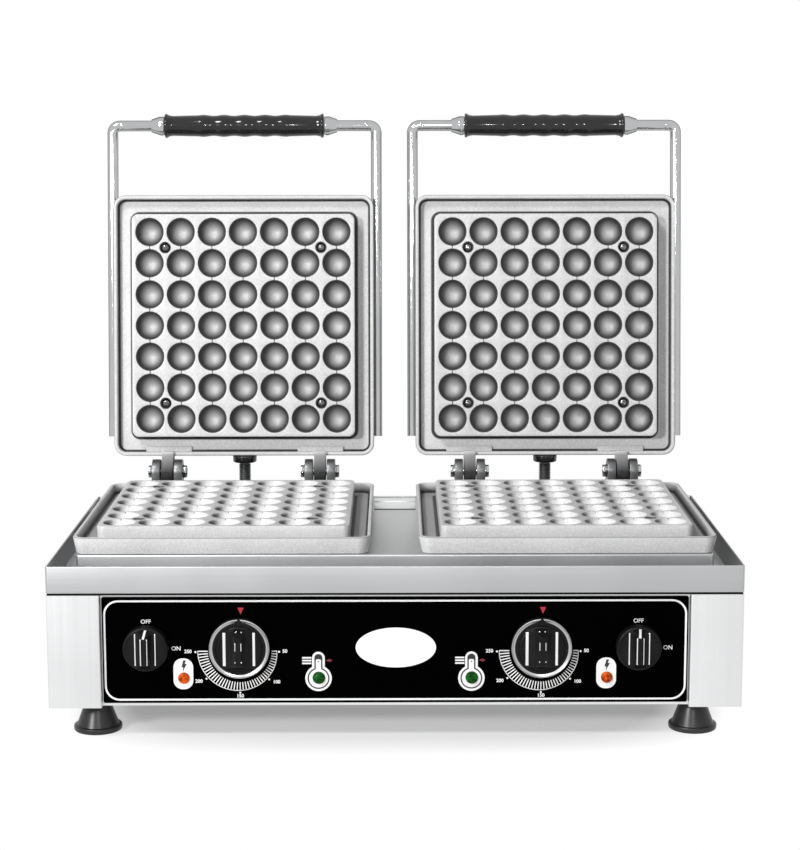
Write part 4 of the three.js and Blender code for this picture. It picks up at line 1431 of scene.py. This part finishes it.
@dataclass
class Lid:
    """The moving half of a cooking unit, made closed about its hinge and swung open."""

    side: str
    plate: BubblePlate
    casting: Casting
    hinge: Hinge
    open_angle: float = 97.45
    setback: float = 15.2
    rim_height: float = 4.4
    plate_face: float = -1.8
    pad_half: float = 22.5
    pad_depth: float = 7.2
    cover_half: float = 116.8
    cover_corner: float = 14.0
    cover_bend: float = 2.8
    cover_reach: float = 60.0
    cover_base: float = 19.7
    cover_height: float = 21.0
    cover_wall: float = 1.2
    bar_radius: float = 5.25
    bar_half: float = 130.0
    bar_depth: float = 24.95
    bar_start: float = 33.7
    bar_end: float = 340.2
    elbow: float = 7.0
    saddles: Pair = (50.2, 217.2)
    saddle_length: float = 16.0
    saddle_inner: float = 117.85
    grip_half: float = 78.5
    grip_bore: float = 5.5
    grip_end: float = 10.5
    grip_radius: float = 10.4
    grip_neck: float = 9.8
    wave_half: float = 45.0
    wave_pitch: float = 20.2
    wave_depth: float = 0.5
    wave_steps: int = 48

    @property
    def body(self) -> str:
        """Name of the lid's body."""
        return f"lid_{self.side}"

    @property
    def centre(self) -> float:
        """Place of the pan's middle along the closed lid."""
        return -self.setback - self.casting.half

    @cached_property
    def place(self) -> Matrix:
        """Takes the closed lid to its open place."""
        bolts = [middle_of(f"hinge_bolt_{self.side}_{end}") for end in ("outer", "inner")]
        return Matrix.Translation((bolts[0] + bolts[1]) / 2) @ turn(-self.open_angle, "X")

    def pan(self) -> None:
        """Builds the lid casting with lugs, pads and saddles."""
        flip = shift(0, self.centre, self.rim_height + self.casting.height) @ turn(180, "Y")
        shape = self.casting.add(Shape(), flip)
        back = self.rim_height + self.casting.height
        root = -self.setback - self.casting.draft - self.casting.wall / 2
        for hand in (-1, 1):
            x = hand * self.hinge.spread
            radius = self.hinge.lug_radius
            outline = [(0, radius), *arc(0, 0, radius, 90, -90, 16), (root + 4, -1.0), (root, 0.5),
                       (root, radius)]
            shape.cheek(outline, self.hinge.lug_width, self.hinge.lug_soft, shift(x))
            pad_rear = -self.setback - self.casting.wall / 2
            floor = back - self.casting.floor
            shape.block(
                (x - self.pad_half, pad_rear - self.pad_depth, floor - 2.5),
                (x + self.pad_half, pad_rear, floor + 1), 0.7,
            )
            for y in self.saddles:
                self.saddle(shape, hand, -y)
        name = f"lid_pan_{self.side}"
        piece = shape.piece(
            f"lid_casting_{self.side}", self.body, "cast_aluminium", CAST, [name], self.place
        )
        self.casting.paint_shade(piece, self.place @ flip)

    def saddle(self, shape: Shape, hand: int, y: float) -> None:
        """Adds a saddle that a handle bar lies against."""
        low = (self.saddle_inner, y - self.saddle_length / 2, self.cover_base - 4.5)
        high = (self.bar_half - self.bar_radius - 0.1, y + self.saddle_length / 2,
                self.bar_depth + self.bar_radius)
        part = Shape().block(low, high, 1.0)
        bmesh.ops.transform(part.mesh, matrix=Matrix.Diagonal((hand, 1, 1, 1)), verts=part.mesh.verts)
        bmesh.ops.recalc_face_normals(part.mesh, faces=part.mesh.faces)
        shape.take(part.mesh)

    def face(self) -> None:
        """Fixes the bubble plate and its screws in the lid."""
        flip = self.place @ shift(0, self.centre, self.plate_face) @ turn(180, "Y")
        shape = Shape().take(self.plate.mesh())
        name = f"lid_plate_{self.side}"
        piece = shape.piece(
            f"lid_bubbles_{self.side}", self.body, "cast_aluminium", PLATE_COAT, [name], flip
        )
        self.plate.paint_shade(piece, flip)
        screws = self.plate.screws(Shape())
        screws.piece(f"lid_screws_{self.side}", self.body, "chrome", SCREW_STEEL, (), flip)

    def cover(self) -> None:
        """Draws the cover on the back of the lid."""
        half, reach = self.cover_half, self.cover_reach
        base = Ring(half, half, self.cover_corner, self.cover_base, 0, self.centre)
        top = self.cover_base + self.cover_height
        wall = self.cover_wall
        turn_in = top - self.cover_bend
        bend = arc(-5.0, turn_in, self.cover_bend, 15, 90, 5)
        outside = [(0, self.cover_base), (-2.2, turn_in), *bend, (-reach, top)]
        inside = [(by - wall, z) for by, z in outside[:2]] + [(-wall - 5.0, top - wall)]
        rings = base.spread([(-reach, top - wall), *reversed(inside), *outside])
        shape = Shape().stack(rings, steps=8)
        name = f"lid_cover_{self.side}"
        shape.piece(f"lid_back_{self.side}", self.body, "cover_steel", COVER_STEEL, [name], self.place)

    def frame(self) -> None:
        """Bends the handle frame from one bar."""
        part = bmesh.new()
        bmesh.ops.create_circle(
            part, cap_ends=True, segments=28, radius=self.bar_radius,
            matrix=shift(-self.bar_half, -self.bar_start, 0) @ turn(90, "X"),
        )
        loop, verts = extruded(part, list(part.edges))
        run = self.bar_end - self.elbow - self.bar_start
        bmesh.ops.translate(part, vec=(0, -run, 0), verts=verts)
        elbow = self.elbow
        for cent in ((-self.bar_half + elbow, -self.bar_end + elbow, 0),
                     (self.bar_half - elbow, -self.bar_end + elbow, 0)):
            last = bmesh.ops.spin(
                part, geom=[*verts, *loop], cent=cent, axis=(0, 0, 1),
                angle=math.radians(90), steps=8,
            )["geom_last"]
            loop, verts = extruded(part, edges_of(last))
            step = (2 * (self.bar_half - elbow), 0, 0) if cent[0] < 0 else (0, run, 0)
            bmesh.ops.translate(part, vec=step, verts=verts)
        bmesh.ops.contextual_create(part, geom=loop)
        shape = Shape().take(part)
        for hand in (-1, 1):
            shape.turned(
                [(5.2, -1.6), (5.29, -1.4), (5.29, 1.4), (5.2, 1.6), (5.2, -1.6)],
                shift(hand * (self.bar_half - elbow - 2.6), -self.bar_end, 0) @ turn(90, "Y"), 28,
            )
        name = f"handle_frame_{self.side}"
        shape.piece(
            f"handle_bar_{self.side}", self.body, "chrome", CHROME, [name],
            self.place @ shift(0, 0, self.bar_depth),
        )

    def grip(self) -> None:
        """Turns the grip with its finger waves."""
        half = self.grip_half
        bore, end, radius, neck = self.grip_bore, self.grip_end, self.grip_radius, self.grip_neck
        profile: list[Pair] = [
            (bore, -half), (end, -half), *arc(end, -half + 1.6, 1.5, -60, 60, 5),
            (radius, -half + 4.6), (neck, -half + 8.0),
        ]
        for i in range(self.wave_steps + 1):
            x = -self.wave_half + 2 * self.wave_half * i / self.wave_steps
            wave = self.wave_depth * math.cos(math.tau * x / self.wave_pitch)
            profile.append((radius + wave, x))
        profile += [
            (neck, half - 8.0), (radius, half - 4.6), *arc(end, half - 1.6, 1.5, -60, 60, 5),
            (end, half), (bore, half), (bore, -half),
        ]
        across = shift(0, -self.bar_end, self.bar_depth) @ turn(90, "Y")
        shape = Shape().turned(profile, across, 40)
        name = f"handle_grip_{self.side}"
        shape.piece(f"grip_moulding_{self.side}", self.body, "grip", GRIP, [name], self.place)
        collar = [
            (5.4, 0.3), (8.6, 0.3), (9.0, 0.7), (9.0, 5.4), (8.7, 6.0), (6.5, 12.6), (6.1, 13.1),
            (5.4, 13.1), (5.4, 0.3),
        ]
        for hand, end in ((-1, "left"), (1, "right")):
            lay = across @ turn(90 - 90 * hand, "X") @ shift(0, 0, half)
            shape = Shape().turned(collar, lay, 32)
            shape.turned([(0, 8.2), (1.7, 8.2), (1.9, 8.9), (1.6, 9.3), (0.8, 9.3), (0.7, 8.9),
                          (0, 8.9)], lay @ shift(0, 0, 3.2) @ turn(-90 * hand, "X"), 16)
            node = f"handle_collar_{self.side}_{end}"
            shape.piece(f"grip_collar_{self.side}_{end}", self.body, "chrome", CHROME, [node],
                        self.place)

    def build(self) -> None:
        """Builds the lid."""
        self.pan()
        self.face()
        self.cover()
        self.frame()
        self.grip()


@dataclass
class Knob:
    """A round knob with a tapered grip bar, made face up with its back at z = 0."""

    radius: float
    rim: float
    height: float
    foot: float
    ring: float = 0.0
    top: float = 2.6
    end_margin: float = 3.0
    end_share: float = 0.72
    bore: float = 3.2

    def body(self) -> Shape:
        """The disc with its bore and the grip bar."""
        low = 0.2 if self.ring else 0.0
        rim = self.rim
        edge = [(self.radius, rim - 1.4), (self.radius - 0.5, rim - 0.5), (self.radius - 1.3, rim)]
        step = [(self.radius - 2.4, rim), (self.radius - 2.8, rim - 0.5), (0, rim - 0.5)]
        shape = Shape().turned(
            [(0, rim - 1.2), (self.bore, rim - 1.2), (self.bore, low), (self.radius, low), *edge,
             *step], sides=72,
        )
        length = self.radius - self.end_margin
        tip = length * self.end_share
        rise = self.height - rim
        profile = ((0.0, -0.06), (0.42, 0.16), (0.72, 0.42), (0.92, 0.8), (1.0, 0.97), (1.04, 1.0))
        rings = []
        for share, lift in profile:
            half = self.foot + (self.top - self.foot) * share
            reach = length + (tip - length) * max(0.0, lift)
            rings.append(Ring(half, reach, min(1.2, half * 0.6), rim + rise * lift))
        return shape.stack(rings, steps=3)

    def lines(
        self, widths: Sequence[float], ridge: float, lift: float = 0.0, dots: Sequence[Pair] = ()
    ) -> Shape:
        """Painted highlights: bright strips along the foot and the ridge of the grip.

        Args:
            widths: Width of the left foot, left ridge, right ridge and right foot highlight strip.
            ridge: Half the length of the ridge lines.
            lift: How far the ridge lines sit towards the knob's top.
            dots: Height on the face and over the back of each pair of painted highlight dots.

        Returns:
            The shape.
        """
        shape = Shape()
        reach = self.radius - self.end_margin - 2.2
        places = (
            (-self.foot + 0.2, reach, 0.0, self.rim + 0.2), (-self.top + 0.3, ridge, lift, self.height),
            (self.top - 0.3, ridge, lift, self.height), (self.foot - 0.2, reach, 0.0, self.rim + 0.2),
        )
        for width, (x, half, y, z) in zip(widths, places):
            shape.block((x - width / 2, y - half, z - 0.9), (x + width / 2, y + half, z), 0.3)
        # Painted highlight dots on the ridge.
        for y, z in dots:
            for x in (0.3 - self.top, self.top - 0.3):
                shape.block((x - 0.6, y - 0.6, z - 1.0), (x + 0.6, y + 0.6, z), 0.25)
        return shape

    def mark(self, lean: float) -> Shape:
        """The white mark on the upper end of the grip."""
        start = Vector((0, self.radius - self.end_margin + 0.6, self.rim - 0.2))
        end = Vector((0, (self.radius - self.end_margin) * self.end_share - 0.3, self.height - 0.1))
        slope = math.degrees(math.atan2(end.z - start.z, start.y - end.y))
        lay = Matrix.Translation((start + end) / 2) @ turn(-slope, "X") @ turn(lean, "Z")
        half = (end - start).length / 2
        return Shape().block((-1.0, -half, -0.1), (1.0, half, 0.35), 0.15, lay)

    def skirt(self) -> tuple[Shape, Shape]:
        """The bright ring round the knob, and the black lip in it with the notch at its top.

        Returns:
            The ring and the lip.
        """
        ring = self.ring
        inner = self.radius + 0.1
        profile = [
            (ring - 3.1, 6.6), (ring - 0.1, 6.6), (ring - 0.1, 7.3), (ring - 0.5, 7.8),
            (ring - 0.9, 7.9), (ring - 1.4, 7.5), (ring - 2.1, 7.3), (ring - 3.1, 6.9),
            (ring - 3.1, 6.6),
        ]
        skirt = [
            (inner, 0.2), (ring - 0.3, 0.2), (ring, 0.5), (ring, 6.6), (ring - 3.1, 6.6),
            (ring - 3.2, 7.1), (inner, 7.4), (inner, 0.2),
        ]
        notch = [(-4.6, inner + 0.6), (4.6, inner + 0.6), (0.9, ring - 0.1), (-0.9, ring - 0.1)]
        lay = shift(0, 0, 6.8)
        return (
            Shape().turned(profile, sides=96),
            Shape().turned(skirt, sides=96).slab(notch, 1.25, lay),
        )


@dataclass
class Dial:
    """The printed scale round a thermostat knob."""

    x: float
    z: float = 75.8
    inner: float = 26.7
    outer: float = 31.0
    growth: float = 4.1
    bars: int = 41
    bar_width: float = 0.85
    numbers: tuple[str, ...] = ("50", "100", "150", "200", "250")
    angles: tuple[float, ...] = (1.0, 45.0, 90.0, 140.0, 179.0)

    def reach(self, angle: float) -> float:
        """Outer radius of the scale at an angle below the level, clockwise from the right."""
        return self.outer + self.growth * math.sin(math.radians(max(0.0, min(180.0, angle)) / 2))

    def spot(self, angle: float, radius: float) -> Vector:
        """A place at an angle and radius."""
        lean = math.radians(angle)
        return Vector((self.x + radius * math.cos(lean), self.z - radius * math.sin(lean), 0))

    def draw(self, shape: Shape, lay: Matrix, thickness: float) -> None:
        """Adds bars, the line that joins them, dots and numbers.

        Args:
            shape: The shape that takes them.
            lay: Takes the flat print to the fascia.
            thickness: How far the print stands proud.
        """
        half = self.bar_width / 2
        for bar in range(self.bars):
            angle = 180.0 * bar / (self.bars - 1)
            low, high = self.spot(angle, self.inner), self.spot(angle, self.reach(angle) + 0.2)
            aside = (high - low).normalized().cross(Vector((0, 0, half)))
            corners = (low - aside, high - aside, high + aside, low + aside)
            shape.slab([tuple(corner.xy) for corner in corners], thickness, lay)
        steps = [180.0 * i / 60 for i in range(61)]
        line = [tuple(self.spot(a, self.reach(a) + 0.3).xy) for a in steps]
        line += [tuple(self.spot(a, self.reach(a) - 0.3).xy) for a in reversed(steps)]
        shape.slab(line, thickness, lay)
        for number, angle in zip(self.numbers, self.angles):
            radius = self.reach(angle) + 1.9
            dot = self.spot(angle, radius)
            profile = [(0, 0), (0.85, 0), (0.85, thickness), (0, thickness)]
            shape.turned(profile, lay @ shift(*dot.xy), 14)
            away = 0.93 * (2.2 + 1.5 * len(number))
            if angle == 90.0:
                place = dot.xy + Vector((0, -2.85))
            else:
                side = math.copysign(1, math.cos(math.radians(angle)))
                drop = 0.4 if abs(math.cos(math.radians(angle))) > 0.9 else -2.2
                place = dot.xy + Vector((side * away, drop))
            shape.lettering(number, 3.0, lay @ shift(*place, thickness / 2), 0.1)


@dataclass
class ControlPanel:
    """The black fascia with its print, knobs and lamps."""

    thickness: float = 0.14
    border: float = 1.6
    border_inset: float = 1.4
    border_corner: float = 12.5
    border_top: float = 119.6
    border_bottom: float = 33.3
    pill_half: float = 8.3
    pill_low: float = 43.1
    pill_high: float = 69.7
    bulb: float = 11.1
    stem: float = 5.3
    line: float = 1.9
    gap: float = 1.15
    oval: tuple[float, float, float, float] = (0.5, 78.7, 33.6, 17.1)

    @cached_property
    def face(self) -> float:
        """Place of the fascia's face along Y."""
        return corners_of("control_fascia")[0].y

    def at(self, x: float, z: float, proud: float = 0.0) -> Matrix:
        """Takes a flat shape to a place on the fascia, its Z axis to the front."""
        return shift(x, self.face - proud, z) @ turn(90, "X")

    def plate(self) -> None:
        """Cuts the black fascia."""
        low, high = corners_of("control_fascia")
        ring = Ring((high.x - low.x) / 2, (high.z - low.z) / 2, 1.6, 0)
        depth = high.y - low.y
        rings = ring.spread([(0, -depth), (0, -0.4), (-0.12, -0.12), (-0.4, 0)])
        place = self.at((low.x + high.x) / 2, (low.z + high.z) / 2)
        shape = Shape().stack(rings, place, 4)
        shape.piece("black_fascia", "cabinet", "fascia", FASCIA, ["control_fascia"])

    def frame_line(self, shape: Shape) -> None:
        """Adds the white line round the fascia."""
        half = corners_of("control_fascia")[1].x - self.border_inset
        bottom = self.border_bottom
        middle = (bottom + self.border_top) / 2
        outer = Ring(half, (self.border_top - bottom) / 2, self.border_corner, 0)
        rings = outer.spread([
            (0, -0.05), (0, self.thickness), (-self.border, self.thickness), (-self.border, -0.05)
        ])
        shape.stack(rings, self.at(0, middle), 8, True)

    def thermometer(self, white: Shape, black: Shape, red: Shape, side: int) -> None:
        """Adds the thermometer sign round a heat lamp.

        Args:
            white: White print.
            black: Black print.
            red: Red print.
            side: -1 for the left sign, 1 for the right.
        """
        lamp = middle_of(f"heat_lamp_{'left' if side < 0 else 'right'}")
        lay = self.at(lamp.x - 0.3, lamp.z - 0.5)
        reach = math.degrees(math.asin(self.stem / self.bulb))
        top = 22.9 - self.stem
        outline = arc(0, 0, self.bulb, 90 + reach, 450 - reach, 36)
        outline += arc(0, top, self.stem, 0, 180, 12)
        white.slab(outline, self.thickness, lay)
        hollow, tube = self.bulb - self.line, self.stem - self.line
        reach = math.degrees(math.asin(tube / hollow))
        outline = arc(0, 0, hollow, 90 + reach, 450 - reach, 36) + arc(0, top, tube, 0, 180, 12)
        black.slab(outline, 0.06, lay @ shift(0, 0, self.thickness))
        inner, column = self.bulb - self.line - self.gap, 2.2
        reach = math.degrees(math.asin(column / inner))
        outline = arc(0, 0, inner, 90 + reach, 450 - reach, 32) + [
            (column, 15.6), (column - 0.8, 16.4), (0.8 - column, 16.4), (-column, 15.6)]
        proud = self.thickness + 0.04
        white.slab(outline, 0.08, lay @ shift(0, 0, proud))
        dot = [(0, 0), (0.55, 0), (0.55, 0.05), (0, 0.05)]
        black.turned(dot, lay @ shift(0, 14.4, proud + 0.08), 12)
        for height in (17.7, 15.3, 12.9):
            low = (-13.6, height - 0.65, 0)
            white.block(low, (-5.9, height + 0.65, self.thickness), 0, lay)
        arrow = [(6.2, 15.4), (9.8, 13.9), (9.8, 14.9), (11.4, 14.9), (11.4, 15.9), (9.8, 15.9),
                 (9.8, 16.9)]
        red.slab(arrow, self.thickness, lay)

    def pill(self, white: Shape, black: Shape, side: int) -> None:
        """Adds the white field with a bolt of lightning above a power lamp."""
        lamp = middle_of(f"power_lamp_{'left' if side < 0 else 'right'}")
        half = (self.pill_high - self.pill_low) / 2
        middle = (self.pill_high + self.pill_low) / 2
        ring = Ring(self.pill_half, half, 7.6, 0)
        rings = ring.spread([(0, -0.05), (0, self.thickness - 0.05), (-0.05, self.thickness)])
        white.stack(rings, self.at(lamp.x - 0.4, middle), 8)
        bolt = [(-0.5, 4.9), (1.7, 4.9), (0.7, 1.9), (2.5, 1.9), (0.3, -2.0), (-0.9, -5.0),
                (-0.7, -1.2), (-2.1, -0.9)]
        black.slab(bolt, 0.06, self.at(lamp.x + 0.2, 63.1, self.thickness))

    def badge(self, shape: Shape) -> None:
        """Adds the bare oval plate in the middle."""
        x, z, half_x, half_z = self.oval
        outline = [(half_x * math.cos(math.radians(a)), half_z * math.sin(math.radians(a)))
                   for a in range(0, 360, 5)]
        shape.slab(outline, 0.32, self.at(x, z, -0.02))

    def prints(self) -> None:
        """Prints the fascia in white, black and red."""
        white, black, red, dim = Shape(), Shape(), Shape(), Shape()
        self.frame_line(white)
        flat = self.at(0, 0)
        for side, name in ((-1, "left"), (1, "right")):
            self.pill(white, black, side)
            self.thermometer(white, black, dim, side)
            knob = middle_of(f"thermostat_knob_{name}")
            Dial(knob.x).draw(white, flat, self.thickness)
            arrow = [(-2.5, 3.0), (0, -3.0), (2.5, 3.0)]
            red.slab(arrow, self.thickness, self.at(knob.x + 1.2, 110.2))
            knob = middle_of(f"switch_knob_{name}")
            proud = self.thickness / 2
            white.lettering("OFF", 3.6, self.at(knob.x, 101.2, proud), 0.04)
            white.lettering("ON", 3.7, self.at(knob.x + 24.9, 78.1, proud), 0.04)
        white.piece("white_print", "cabinet", "fascia", WHITE_INK)
        black.piece("black_print", "cabinet", "fascia", BLACK_INK)
        red.piece("red_print", "cabinet", "fascia", RED_INK)
        dim.piece("dark_red_print", "cabinet", "fascia", DARK_RED_INK)
        plate = Shape()
        self.badge(plate)
        plate.piece("bare_oval", "cabinet", "fascia", ENAMEL)

    def knobs(self, side: str) -> None:
        """Fits the two knobs of a unit."""
        for kind in ("switch", "thermostat"):
            node = f"{kind}_knob_{side}"
            low, high = corners_of(node)
            lay = shift((low.x + high.x) / 2, high.y, (low.z + high.z) / 2) @ turn(90, "X")
            body = f"{kind}_dial_{side}"
            if kind == "switch":
                knob = Knob(18.9, 9.0, 18.0, 8.5)
                knob.body().piece(f"switch_grip_{side}", body, "knob", KNOB, [node], lay)
                # Painted highlights: bright strips where the lamps glint on the grip's edges.
                knob.lines((1.2, 1.9, 1.3, 1.1), 11.2).piece(
                    f"switch_painted_highlights_{side}", body, "chrome", PAINTED_HIGHLIGHT, (), lay)
                knob.mark(-6).piece(f"switch_mark_{side}", body, "fascia", WHITE_INK, (), lay)
            else:
                knob = Knob(19.5, 8.0, 19.0, 12.5, 25.4)
                knob.body().piece(f"thermostat_grip_{side}", body, "knob", KNOB, [node], lay)
                # Painted highlights: bright strips where the lamps glint on the grip's edges.
                knob.lines((2.6, 1.1, 1.1, 2.3), 3.4, 4.6, ((15.2, 11.4), (-8.4, 19.0))).piece(
                    f"thermostat_painted_highlights_{side}", body, "chrome", PAINTED_HIGHLIGHT, (), lay)
                ring, lip = knob.skirt()
                ring.piece(f"thermostat_ring_{side}", body, "chrome", SATIN_RING, (), lay)
                lip.piece(f"thermostat_notch_{side}", body, "knob", KNOB, (), lay)

    def lamps(self, side: str) -> None:
        """Fits the amber and the green lamp of a unit."""
        for kind, finish, slot in (("power", AMBER, "amber_lens"), ("heat", GREEN, "green_lens")):
            node = f"{kind}_lamp_{side}"
            low, high = corners_of(node)
            radius = (high.x - low.x) / 2
            lay = self.at((low.x + high.x) / 2, (low.z + high.z) / 2)
            back = self.face - high.y
            barrel = [(0, back), (4.2, back), (4.2, -0.2), (4.2, 0.2), (radius, 0.2),
                      (radius, 0.8), (radius - 0.5, 1.3), (radius - 1.0, 1.3), (0, 1.3)]
            shape = Shape().turned(barrel, lay, 40)
            if kind == "power":
                shape.turned([(0, 1.2), (4.6, 1.2), (4.3, 2.1), (3.1, 2.7), (2.9, 2.2), (1.9, 2.2),
                              (1.5, 3.1), (0, 3.3)], lay @ turn(22.5, "Z"), 8)
            else:
                dome = [(0, 1.2), (radius - 0.9, 1.2), (radius - 1.0, 1.2), (4.6, 2.1),
                        (3.6, 2.8), (2.2, 3.3), (0, 3.5)]
                shape.turned(dome, lay, 32)
            shape.piece(f"{kind}_lens_{side}", "cabinet", slot, finish, [node])

    def build(self) -> None:
        """Builds the panel."""
        self.plate()
        self.prints()
        for side in ("left", "right"):
            self.knobs(side)
            self.lamps(side)


def dress_nodes(nodes: Mapping[str, bpy.types.Object], slots: Mapping[str, str]) -> None:
    """Gives every CAD node that stays a procedural material.

    Args:
        nodes: The CAD objects by name.
        slots: The record's slot of each.
    """
    finishes = {
        "stainless": STAINLESS_X_SHADED, "cover_steel": COVER_STEEL, "hinge_steel": HINGE_STEEL,
        "cast_aluminium": CAST, "chrome": CHROME, "fascia": FASCIA, "knob": KNOB, "grip": GRIP,
        "foot_rubber": RUBBER, "seal": SEAL, "amber_lens": AMBER, "green_lens": GREEN,
        "control_body": CERAMIC, "element_steel": ELEMENT, "gland_plastic": NYLON,
    }
    for name, node in nodes.items():
        # The front panel takes the lit copy of the stainless.
        finish = STAINLESS_Z_LIT if name == "front_panel" else finishes[slots[name]]
        node.data.materials.clear()
        node.data.materials.append(finish.material())


def main() -> None:
    """Builds the scene piece by piece."""
    logging.basicConfig(level=logging.INFO, format="%(message)s")
    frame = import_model()
    slots = {part["node"]: part["material_slot"] for part in frame["record"]["subparts"]}
    dress_nodes(frame["nodes"], slots)
    Studio().build()
    Cabinet().build()
    ControlPanel().build()
    plate, casting, hinge = BubblePlate(), Casting(), Hinge()
    for side in ("left", "right"):
        LowerUnit(side, plate, casting, hinge).build()
        Lid(side, plate, casting, hinge).build()
    bpy.context.view_layer.update()


if __name__ == "__main__":
    main()
